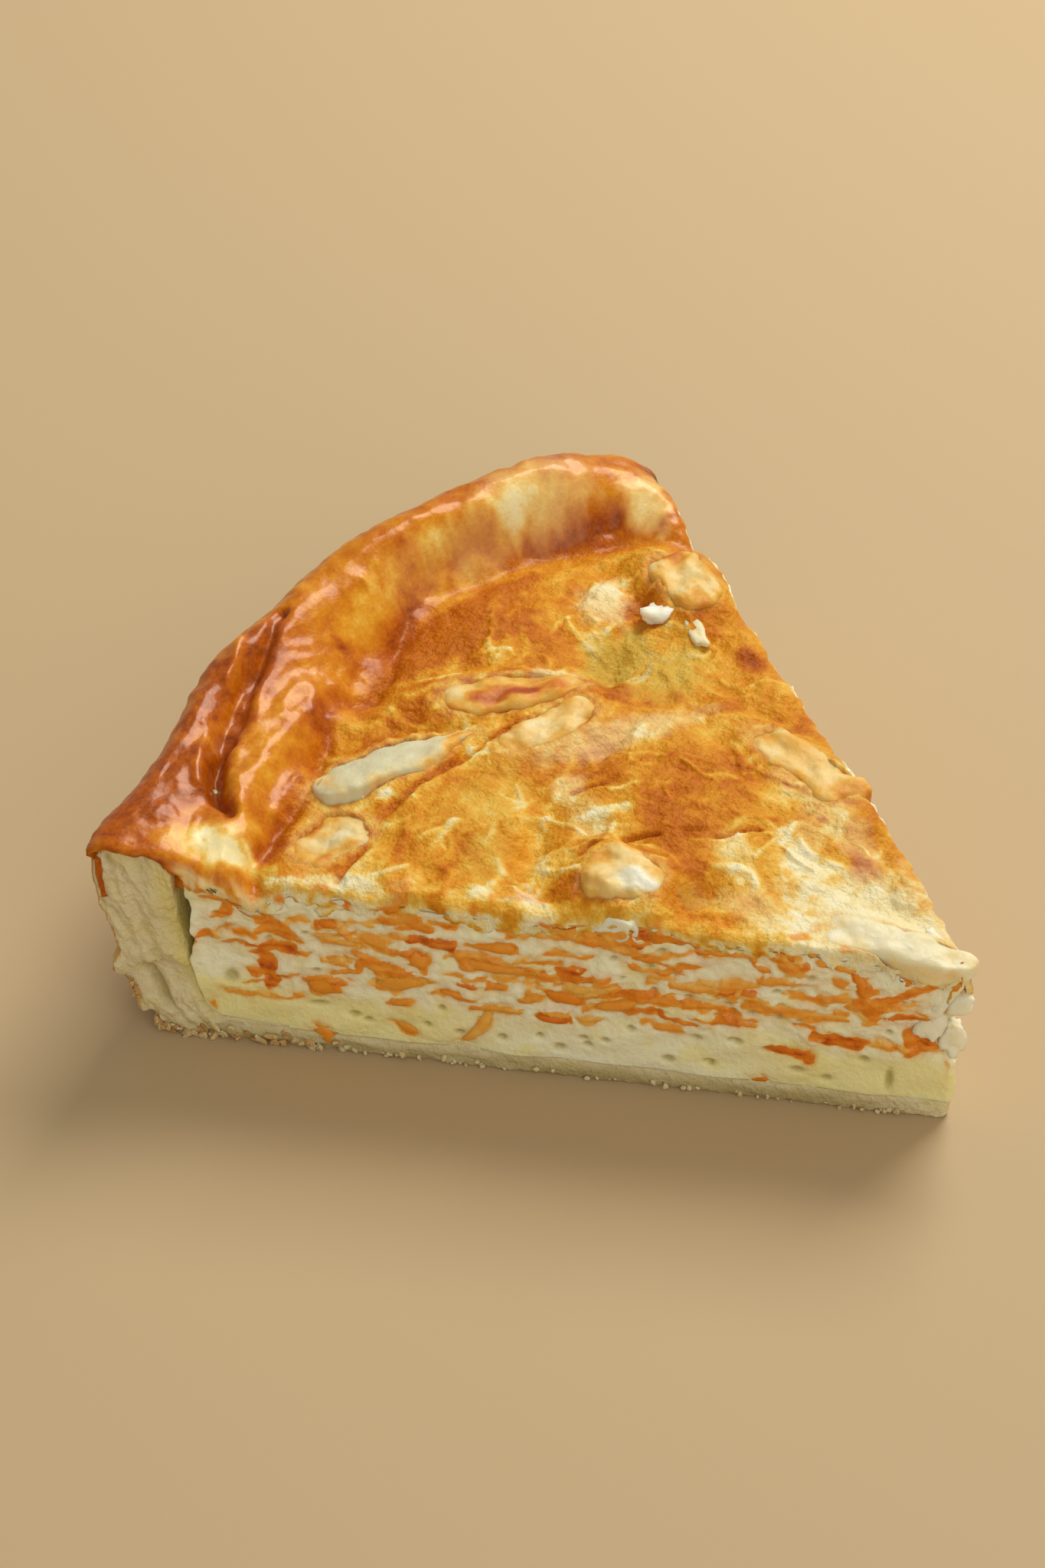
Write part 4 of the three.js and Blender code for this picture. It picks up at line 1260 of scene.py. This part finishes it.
def custardOutline(u, z):
    # plan of the sleeve at each share of the way round it, and which side each vertex is on
    c = custard
    nearEnd = c["cutColumns"]
    tipEnd = nearEnd + c["tipColumns"]
    farEnd = tipEnd + c["cutColumns"]
    i = np.round(u * (farEnd + c["backColumns"]))
    onNear = i <= nearEnd
    onTip = (i > nearEnd) & (i < tipEnd)
    onFar = (i >= tipEnd) & (i <= farEnd)
    sides = [onNear, onTip, onFar]
    t = np.select(
        sides,
        [i / nearEnd, (i - nearEnd) / c["tipColumns"], (i - tipEnd) / c["cutColumns"]],
        (i - farEnd) / c["backColumns"],
    )
    wall = straight(innerFace, z) - 0.2
    rising = spaced(z, 0, 0)
    # the torn tip, set back most at mid height, and the gap that opens between filling and wall
    torn = (0.5 * noise(rising, 3, 66) + 0.4 * noise(rising, 1.2, 68)) * smoothstep(z, 5, 9)
    start = 1.2 + 2.4 * np.exp(-(((z - 15) / 4.5) ** 2)) + torn
    gap = 1.8 * np.sqrt(np.maximum(0, 1 - ((z - 21.5) / 8.5) ** 2))
    gap = gap + 0.5 * noise(rising, 2.2, 67) * smoothstep(z, 12, 16)
    degrees = wedge["angle"] * np.select(sides, [0 * t, t, 0 * t + 1], 1 - t)
    pocket = gap * np.sqrt(np.maximum(0, 1 - (wall * np.radians(degrees) / 6) ** 2))
    run = np.select(
        sides,
        [
            wall - gap + (start - wall + gap) * t,
            start - 0.45 * np.sin(math.pi * t),
            start + (wall - start) * t,
        ],
        wall - pocket,
    )
    return run, degrees, onNear, onTip, onFar


def custardBody(near, far, rng):
    c = custard
    columns = 2 * c["cutColumns"] + c["tipColumns"] + c["backColumns"]
    rows = c["sideRows"] + 2 * c["capRows"]
    piece, u, v = gridPiece("custard", columns, rows)
    row = np.round(v * rows)
    below = np.clip(row / c["capRows"], 0, 1)
    side = np.clip((row - c["capRows"]) / c["sideRows"], 0, 1)
    above = np.clip((row - c["capRows"] - c["sideRows"]) / c["capRows"], 0, 1)

    z = c["foot"] + side * (25.5 - c["foot"])
    run, degrees, onNear, onTip, onFar = custardOutline(u, z)
    angle = np.radians(degrees)
    onCut = onNear | onFar | onTip
    height = skinHeight(run * np.cos(angle), run * np.sin(angle)) - c["sinkTop"] + 0.6 * onCut
    z = c["foot"] + side * (height - c["foot"])
    run = custardOutline(u, z)[0]
    plan = onPlan(run * np.cos(angle), run * np.sin(angle))

    carrot = np.full(len(u), 5.0)
    tone = np.full(len(u), 0.5)
    pore = np.zeros(len(u))
    milky = np.zeros(len(u))
    for isFar, out, group in ((False, nearOut, near), (True, farOut, far)):
        here = np.flatnonzero((onFar if isFar else onNear) | onTip)
        a, h = run[here], z[here]
        cut = spaced(a, h, 40.0 if isFar else 0.0)
        warpA = a + 0.5 * noise(cut, 1.9, 73) + 0.3 * noise(cut, 0.9, 74)
        warpH = h + 0.3 * noise(cut, 1.7, 75) + 0.2 * noise(cut, 0.8, 76)
        nearest, itsTone, itsLift = np.full(len(a), 5.0), np.full(len(a), 0.5), np.zeros(len(a))
        for shred in group:
            along, level, long, thick, tilt = shred["shape"]
            span = long / 2 + thick + 1.5
            close = np.flatnonzero((np.abs(a - along) < span) & (np.abs(h - level) < span))
            d = shredDistance(warpA[close], warpH[close], shred)
            better = d < nearest[close]
            chosen = close[better]
            nearest[chosen] = d[better]
            itsTone[chosen] = shred["tone"]
            itsLift[chosen] = shred["lift"]
        if not isFar:
            for cAlong, cHeight, long, high in shownCheese:
                off = np.hypot((warpA - cAlong) / (long / 2), (warpH - cHeight) / (high / 2))
                lens = smoothstep(off, 1.1, 0.75)
                milky[here] = np.maximum(milky[here], lens)
                nearest = np.where(lens > 0.5, np.maximum(nearest, 0.5), nearest)
        covered = smoothstep(noise(spaced(a * 0.6, h * 1.3, 40.0 * isFar), 1.5, 79), 0.2, 0.5)
        nearest = nearest + 0.55 * covered
        grain = noise(spaced(a * 0.45, h * 2, 40.0 * isFar), 1.4, 78)
        itsTone = itsTone + 0.34 * grain - 0.26 * smoothstep(nearest, -0.4, 0)
        push = cutSurface(a, h, isFar) + itsLift * smoothstep(nearest, 0.05, -0.45)
        push -= 0.14 * np.exp(-((nearest / 0.28) ** 2))
        push += (0.12 * noise(cut, 0.9, 77) + 0.12 * ridged(cut, 2.4, 70)) * smoothstep(h, 8, 11)
        pores = [] if isFar else list(shownPores)
        for _ in range(26 if isFar else 10):
            place = rng.uniform(3, 90), rng.uniform(4.8, 9.4)
            pores.append(place + (rng.uniform(0.5, 1.1), rng.uniform(0.3, 0.6)))
        for _ in range(46):
            size = rng.uniform(0.1, 0.9)
            pores.append((rng.uniform(4, 92), rng.uniform(10.5, 24), size, 0.7 * size))
        # each hole is dented, and its darker colour is painted shade in it
        for pAlong, pHeight, long, high in pores:
            x, y = (a - pAlong) / (long / 2 + 0.22), (h - pHeight) / (high / 2 + 0.2)
            hole = np.exp(-(x**2) - y**2)
            push -= 0.6 * hole
            pore[here] = np.maximum(pore[here], 0.75 * smoothstep(hole, 0.1, 0.9))
        plan[here] += (np.where(onTip[here], 0.5, 1) * push)[:, None] * out
        carrot[here] = nearest
        tone[here] = itsTone

    # the caps close in on the middle
    shrink = np.where(above > 0, 1 - above**1.5, below)
    middle = onPlan(np.array([52.0]), np.array([30.0]))[0]
    plan = middle + (plan - middle) * shrink[:, None]
    flat = plan - tip
    deep = c["sinkTop"] + c["deepTop"] * smoothstep(shrink, 1.0, 0.93)
    z = np.where(above > 0, np.minimum(skinHeight(flat @ nearWay, flat @ inWay) - deep, z), z)
    points = np.column_stack([plan, z])
    placePoints(piece, points)

    wobble = noise(points, 5, 71)
    # yellowest in the plain layer's two ends, under the skin, by the wall and in blotches
    yolk = smoothstep(z + 1.6 * wobble, 11, 7.4) * (0.1 + 0.8 * smoothstep(np.abs(run - 42), 6, 26))
    yolk += 0.8 * smoothstep(z + wobble, 22.5, 25.5)
    yolk += 0.5 * smoothstep(run, 90, 94) * smoothstep(z, 14, 8)
    yolk += 0.6 * smoothstep(noise(points, 3.6, 69), 0.0, 0.6)
    paint(piece, "yolk", yolk)
    off = np.maximum(carrot, 0)
    stained = 0.42 * np.exp(-off / 0.5) + 0.3 * np.exp(-off / 1.4) * noise(points, 2.4, 72)
    paint(piece, "stain", stained * onCut)
    paint(piece, "carrot", 0.5 - carrot / 1.6)
    paint(piece, "tone", tone)
    paint(piece, "pore", pore)
    paint(piece, "milky", milky)
    mergeClose(piece, 0.004)
    piece.data.materials.append(custardFinish)
    outwardNormals(piece)
    smoothShade(piece)
    return piece


# Pastry base and wall
crust = {"voxel": 0.58, "sinkTop": 0.7}


def pastryCrust():
    piece = copyOfNode("pastry_crust", "pastry")
    applyModifier(piece, "REMESH", mode="VOXEL", voxel_size=crust["voxel"] * mm)
    applyModifier(piece, "SMOOTH", factor=0.5, iterations=3)
    # finer faces at both cuts, first all along them and then on the wall, deeper at the far one
    for deep in (0.5, 0.35):
        centres = centresOf(piece)
        along, inward, radius, degrees = inSlice(centres)
        fromFar = radius * np.sin(np.radians(wedge["angle"] - degrees))
        nearCuts = np.minimum(inward, fromFar + (deep < 0.4)) < deep
        finerFaces(piece, nearCuts & ((radius > 91) | (deep > 0.4)))

    points = pointsOf(piece)
    normal = normalsOf(piece)
    along, inward, radius, degrees = inSlice(points)
    fromFar = radius * np.sin(np.radians(wedge["angle"] - degrees))
    deeper = 3 * smoothstep(radius, 88, 92) * smoothstep(np.minimum(inward, fromFar), 1.5, 4)
    target = skinHeight(along, inward) - crust["sinkTop"] - deeper
    under = topHeight(along, inward)
    points[:, 2] += smoothstep(points[:, 2], under - 6, under - 0.8) * (target - under)
    z = points[:, 2]
    way = (points[:, :2] - tip) / np.maximum(radius, 1)[:, None]
    facing = np.einsum("ij,ij->i", normal[:, :2], way)
    outside = smoothstep(facing, 0.25, 0.6) * smoothstep(radius, 90, 95)
    wall = spaced(np.radians(degrees) * wedge["rimRadius"], z * 2.6, radius * 0.4)
    flaky = 0.34 * noise(wall, 4.5, 81) + 0.2 * noise(wall, 1.8, 82) + 0.3 * np.abs(noise(wall, 6, 83))
    quiet = smoothstep(z, 0.6, 3) * (1 - smoothstep(z, 19, 25))
    points[:, :2] += (outside * flaky * quiet)[:, None] * way

    # folds of the dough where the wall was cut, which follow the outer face down
    inFace = straight(outerFace, z) - radius
    # fold is painted shade: darker where the cut wall is pushed in, and in the cavity
    fold = np.zeros(len(z))
    for far, out in ((False, nearOut), (True, farOut)):
        depth = -((points[:, :2] - tip) @ out)
        onCut = smoothstep(depth, 2, 0.6) * smoothstep(normal[:, :2] @ out, 0.3, 0.7)
        onWallCut = onCut * smoothstep(radius, 90, 94)
        side = 30.0 if far else 0.0
        lean = inFace + 0.16 * z
        fibres = spaced(lean * 2.0, z * 0.34, side)
        push = 0.45 * noise(fibres, 4, 84) + 0.15 * ridged(fibres, 2.6, 85)
        push += 0.34 * noise(spaced(lean * 1.6, z * 0.9, side + 5), 2.4, 88) + 0.14 * noise(points, 0.9, 80)
        if not far:
            cavity = np.exp(-(((lean - 4.1) / 0.7) ** 2) - ((z - 8) / 3.4) ** 2)
            push -= 1.1 * cavity
            fold = np.maximum(fold, cavity * onWallCut)
        points[:, :2] += (onWallCut * push)[:, None] * out
        fold = np.maximum(fold, onWallCut * smoothstep(push, 0.0, -0.55))
        onBase = onCut * (1 - smoothstep(radius, 90, 94))
        layers = spaced((points[:, :2] - tip) @ (farWay if far else nearWay), z * 3, side)
        crumbly = 0.12 + 0.3 * smoothstep(layers[:, 0], 45, 70)
        points[:, :2] += (onBase * crumbly * noise(layers, 2.6, 89))[:, None] * out
    placePoints(piece, points)
    speckle = noise(points, 5, 86)
    paint(piece, "outside", np.maximum(outside, smoothstep(normal[:, 2], -0.6, -0.9)))
    paint(piece, "bake", 0.5 + 0.22 * speckle + 0.2 * smoothstep(z, 20, 28) + 0.14 * noise(wall, 3, 87))
    paint(piece, "fold", 0.8 * fold)
    soaked = 0.7 * smoothstep(inFace, 5.5, 8.5) * smoothstep(z, 2, 8)
    paint(piece, "soaked", soaked + 0.3 * smoothstep(noise(points, 3, 90), 0, 0.6))
    # darker towards the bottom of the base band
    damp = smoothstep(z, 3.3, 0.8) * smoothstep(radius, 99, 90) * smoothstep(radius, 2, 16)
    paint(piece, "damp", damp * (0.85 + 0.3 * speckle))
    piece.data.materials.append(pastryFinish)
    outwardNormals(piece)
    smoothShade(piece)
    return piece


# Each melted slice, sunk into the skin and wrinkled
def cheesePiece(name, spec):
    deselectAll()
    bpy.ops.mesh.primitive_uv_sphere_add(segments=96, ring_count=56, radius=1)
    piece = namedActive(name + "_melted")
    p = pointsOf(piece) * mm
    long, wide, thick = spec["size"]
    boxy = np.sign(p) * np.abs(p) ** np.array([0.62, 0.55, 0.38])
    local = boxy * np.array([long / 2, wide / 2, thick / 2])
    local[:, 1] *= 1 + spec["taper"] * boxy[:, 0] - spec.get("pointed", 0) * smoothstep(boxy[:, 0], 0.1, 1)
    seeded = local + 100 * spec["at"][0]
    broad = noise(seeded, 5, 91)
    rough = 0.75 * broad + 0.4 * noise(seeded, 2.2, 92) + 0.12 * noise(seeded, 0.9, 94)
    local += p * (rough * spec["wobble"])[:, None]
    local[:, 1] += 0.7 * spec["wobble"] * noise(spaced(local[:, 0], 100 * spec["at"][0], 0), 6, 96)
    sides = smoothstep(np.abs(p[:, 1]), 0.45, 0.8)
    local[:, 1] += np.sign(p[:, 1]) * np.sin(local[:, 0] * 3.4 + 1.5 * broad) * spec["ribs"] * sides
    roll = math.radians(spec["roll"])
    y = local[:, 1] * math.cos(roll) - local[:, 2] * math.sin(roll)
    z = local[:, 1] * math.sin(roll) + local[:, 2] * math.cos(roll)
    t = math.radians(spec["turn"])
    along = spec["at"][0] + local[:, 0] * math.cos(t) - y * math.sin(t)
    inward = spec["at"][1] + local[:, 0] * math.sin(t) + y * math.cos(t)
    placePoints(piece, np.column_stack([onPlan(along, inward), spec["level"] + z]))
    toast = spec["toast"] * (1 + 0.3 * noise(seeded, 3, 93))
    ragged = 0.25 * noise(seeded, 1.6, 95)
    for x, across, size, amount in spec["spots"]:
        off = np.hypot((boxy[:, 0] - x) / size, (boxy[:, 1] - across) / (size * long / wide * 0.6)) + ragged
        toast = toast + amount * smoothstep(off, 1.3, 0.4)
    edge = (np.abs(boxy[:, 0]) ** 3.2 + np.abs(boxy[:, 1]) ** 3.2) ** (1 / 3.2) + 0.5 * ragged
    uneven = smoothstep(noise(seeded, 3.6, 99), -0.45, 0.25)
    toast = np.minimum(toast + spec["edge"] * uneven * smoothstep(edge, 0.35, 0.98), 0.86)
    paint(piece, "toast", toast)
    paint(piece, "clear", spec["clear"] * smoothstep(toast, 0.45, 0.2) * (0.8 + 0.4 * broad))
    outwardNormals(piece)
    piece.data.materials.append(cheeseFinish)
    smoothShade(piece)
    return piece


# Loose bits, one piece for each kind: flakes and crumbs of pastry at the foot, and torn bits of cheese
flakes = {"seed": 21, "atFoot": 46, "onWall": 60, "long": (0.6, 1.9), "wide": (0.5, 1.3), "thick": (0.3, 0.6)}
crumbs = {"seed": 22, "count": 80, "size": (0.3, 0.9)}
# (along, inward, height, long, wide, thick, spin) of bits on the near cut and the tip
cutBits = [
    (3.9, 0.9, 15.4, 5.2, 3.4, 2.4, 72), (1.5, 1.1, 13, 4.4, 2.8, 2.6, 95),
    (0.9, 1, 18.8, 3.6, 2.4, 2.2, 20), (42.4, 0.9, 24.8, 6, 3.4, 2.4, 12),
    (39.4, 0.6, 24.6, 3, 1.6, 1.2, 20),
]
# (radius, degrees, long, wide, thick, turn) of bits on the top
topBits = [
    (75.5, 53.8, 5, 3.4, 2.4, 20), (69.9, 55.5, 5.6, 2.4, 2, 150), (76.5, 9.6, 4.6, 1.3, 1, 130),
    (79.2, 12.6, 3.2, 1.2, 1, 110), (3.4, 30, 3.4, 1.8, 1.2, 10), (6.8, 50, 3, 1.6, 1.0, 60),
]


def flatOn(out, lean, spin, rng):
    # three axes of a bit that lies on a face: its length and width, then the way out of the face
    out = np.array(out, float) + rng.normal(0, lean, 3)
    out = out / np.linalg.norm(out)
    side = np.cross([0.1, 0, 1], out)
    side = side / np.linalg.norm(side)
    up = np.cross(out, side)
    s = math.radians(spin)
    return np.array([side * math.cos(s) + up * math.sin(s), up * math.cos(s) - side * math.sin(s), out])


def scatteredPiece(name, bits, jagged, bend):
    points, faces = roundPrototype(18, 14)
    points = np.sign(points) * np.abs(points) ** 0.75
    allPoints, allFaces, tones = [], [], []
    start = 0
    for index, (place, size, axes, tone) in enumerate(bits):
        seeded = points + 31.0 * index
        rough = jagged * (noise(seeded, 0.9, 97) + 0.5 * noise(seeded, 0.45, 98))
        local = points * (1 + rough)[:, None] * np.array(size) / 2
        local[:, 2] += bend * (local[:, 0] ** 2 + 0.6 * local[:, 0] * local[:, 1]) / size[0]
        placed = np.array(place) + local @ axes
        placed[:, 2] = np.maximum(placed[:, 2], 0.02)
        allPoints.append(placed)
        allFaces += [[start + i for i in face] for face in faces]
        tones.append(np.full(len(points), tone))
        start += len(points)
    piece = meshPiece(name, np.concatenate(allPoints), allFaces)
    outwardNormals(piece)
    smoothShade(piece)
    return piece, np.concatenate(tones)


def pastryFlakes():
    rng = np.random.default_rng(flakes["seed"])
    bits = []
    for index in range(flakes["atFoot"] + flakes["onWall"]):
        size = (rng.uniform(*flakes["long"]), rng.uniform(*flakes["wide"]), rng.uniform(*flakes["thick"]))
        tone = rng.uniform(0.15, 0.75)
        if index < flakes["atFoot"]:
            along, height = 76 + 23 * rng.random() ** 0.8, 0.4 + 1.6 * rng.random() ** 2
            plan = tip + along * nearWay + rng.uniform(-0.2, 0.3) * nearOut
            axes = flatOn((nearOut[0], nearOut[1], -0.35), 0.45, rng.normal(0, 35), rng)
        else:
            degrees, height = 13 * rng.random() ** 2 - 0.1, rng.uniform(0.6, 12)
            radius = float(straight(outerFace, height)) + rng.uniform(-0.1, 0.5)
            plan = polarPlan(radius, degrees)
            away = (plan - tip) / np.linalg.norm(plan - tip)
            axes = flatOn((away[0], away[1], -0.1), 0.35, rng.normal(60, 40), rng)
        bits.append(((plan[0], plan[1], height), size, axes, tone))
    piece, tones = scatteredPiece("pastry_flakes", bits, 0.5, 0.3)
    paint(piece, "outside", np.full(len(tones), 0.85))
    paint(piece, "bake", tones)
    piece.data.materials.append(pastryFinish)
    return piece


def pastryCrumbs():
    rng = np.random.default_rng(crumbs["seed"])
    bits = []
    for _ in range(crumbs["count"]):
        size = rng.uniform(*crumbs["size"])
        plan = tip + rng.uniform(4, 99) * nearWay + rng.uniform(-0.15, 0.3) * nearOut
        axes = flatOn((nearOut[0], nearOut[1], 0), 0.5, rng.uniform(0, 360), rng)
        height = size / 2 + 0.7 * rng.random() ** 2
        place = (plan[0], plan[1], height)
        bits.append((place, (size, 0.8 * size, 0.7 * size), axes, rng.uniform(0.05, 0.5)))
    piece, tones = scatteredPiece("pastry_crumbs", bits, 0.4, 0)
    paint(piece, "outside", np.full(len(tones), 0.6))
    paint(piece, "bake", tones)
    piece.data.materials.append(pastryFinish)
    return piece


def cheeseBits():
    rng = np.random.default_rng(23)
    bits = []
    for along, inward, height, long, wide, thick, spin in cutBits:
        plan = tip + along * nearWay - inward * nearOut
        axes = flatOn((nearOut[0], nearOut[1], 0.1), 0.15, spin, rng)
        bits.append(((plan[0], plan[1], height), (long, wide, thick), axes, rng.uniform(0.06, 0.16)))
    for radius, degrees, long, wide, thick, turn in topBits:
        place = polar(radius, degrees)
        height = float(skinHeight(np.array([place[0]]), np.array([place[1]]))[0]) - 0.3 * thick
        plan = polarPlan(radius, degrees)
        axes = flatOn((0, 0, 1), 0.15, turn, rng)
        bits.append(((plan[0], plan[1], height), (long, wide, thick), axes, rng.uniform(0, 0.2)))
    piece, tones = scatteredPiece("cheese_bits", bits, 0.42, 0.3)
    paint(piece, "toast", tones)
    piece.data.materials.append(cheeseFinish)
    return piece


rng = np.random.default_rng(shreds["seed"])
nearShreds = shapedShreds(rng, shownShreds + looseShreds(rng, shreds["fineNear"], 10.2, 24.6))
fineFar = shreds["far"] - shreds["perCut"]
farShreds = shapedShreds(rng, packedShreds(True) + looseShreds(rng, fineFar, 9.8, 24.6))

skinPiece = bakedSkin()
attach(skinPiece, "root")
print("skin:", len(skinPiece.data.polygons), "faces")

custardPiece = custardBody(nearShreds, farShreds, rng)
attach(custardPiece, "root")
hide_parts("custard_plain", "custard_with_carrot")
print("custard:", len(custardPiece.data.polygons), "faces")

shredPiece = carrotShreds(rng, nearShreds, farShreds)
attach(shredPiece, "root")
print("shreds:", len(shredPiece.data.polygons), "faces")

crustPiece = pastryCrust()
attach(crustPiece, "root")
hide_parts("pastry_crust")
print("crust:", len(crustPiece.data.polygons), "faces")

for name, spec in cheeses.items():
    melted = cheesePiece(name, spec)
    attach(melted, "root")
    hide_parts(name)
print("cheese pieces:", len(cheeses))

loose = {pastryFlakes: "baked_pastry", pastryCrumbs: "baked_pastry", cheeseBits: "melted_cheese"}
for makePiece, slot in loose.items():
    bitsPiece = makePiece()
    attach(bitsPiece, "root")
    print(bitsPiece.name + ":", len(bitsPiece.data.polygons), "faces")


# Floor, light and camera
studio = {
    "cameraTurn": -50.3,
    "cameraPitch": 39.8,
    "cameraSide": -52.5,
    "cameraBack": 319.2,
    "cameraHeight": 319.2,
    "lens": 85,
    "keyTurn": 8,
    "keyLift": 48,
    "keyDistance": 0.95,
    "keySize": 0.5,
    "keyPower": 7.6,
    "fillTurn": -120,
    "fillLift": 30,
    "fillDistance": 1.3,
    "fillSize": 1.2,
    "fillPower": 5.2,
    "skyStrength": 0.4,
}


def aimed(place, target):
    return (Vector(target) - Vector(place)).to_track_quat("-Z", "Y").to_euler()


def softLight(name, kind):
    turn, lift = math.radians(studio[kind + "Turn"]), math.radians(studio[kind + "Lift"])
    way = Vector((math.cos(turn) * math.cos(lift), math.sin(turn) * math.cos(lift), math.sin(lift)))
    place = way * studio[kind + "Distance"]
    bpy.ops.object.light_add(type="AREA", location=place, rotation=aimed(place, (0, 0, 0.02)))
    light = bpy.context.object
    light.name = name
    light.data.shape = "SQUARE"
    light.data.size = studio[kind + "Size"]
    light.data.energy = studio[kind + "Power"]
    light.data.color = (1.0, 0.97, 0.93)


def makeStudio():
    deselectAll()
    bpy.ops.mesh.primitive_plane_add(size=6, location=(0, 0, 0))
    floor = namedActive("floor")
    floor.data.materials.append(floorMaterial())
    softLight("window_light", "key")
    softLight("room_light", "fill")

    world = bpy.data.worlds.new("soft_room")
    bpy.context.scene.world = world
    world.use_nodes = True
    background = world.node_tree.nodes["Background"]
    background.inputs["Color"].default_value = linear("#FBF4E8")
    background.inputs["Strength"].default_value = studio["skyStrength"]

    a = math.radians(studio["cameraTurn"])
    right = Vector((math.cos(a), math.sin(a), 0))
    heading = Vector((-math.sin(a), math.cos(a), 0))
    start = Vector((tip[0], tip[1], 0))
    level = Vector((0, 0, studio["cameraHeight"]))
    spot = start + right * studio["cameraSide"] - heading * studio["cameraBack"] + level
    pitch = math.radians(studio["cameraPitch"])
    look = heading * math.cos(pitch) - Vector((0, 0, math.sin(pitch)))
    bpy.ops.object.camera_add(location=spot * mm, rotation=look.to_track_quat("-Z", "Y").to_euler())
    camera = bpy.context.object
    camera.name = "photo_camera"
    camera.data.lens = studio["lens"]
    camera.data.sensor_width = 36
    camera.data.clip_start = 0.01
    bpy.context.scene.camera = camera
    bpy.context.scene.view_settings.view_transform = "Standard"


makeStudio()
print("studio made")
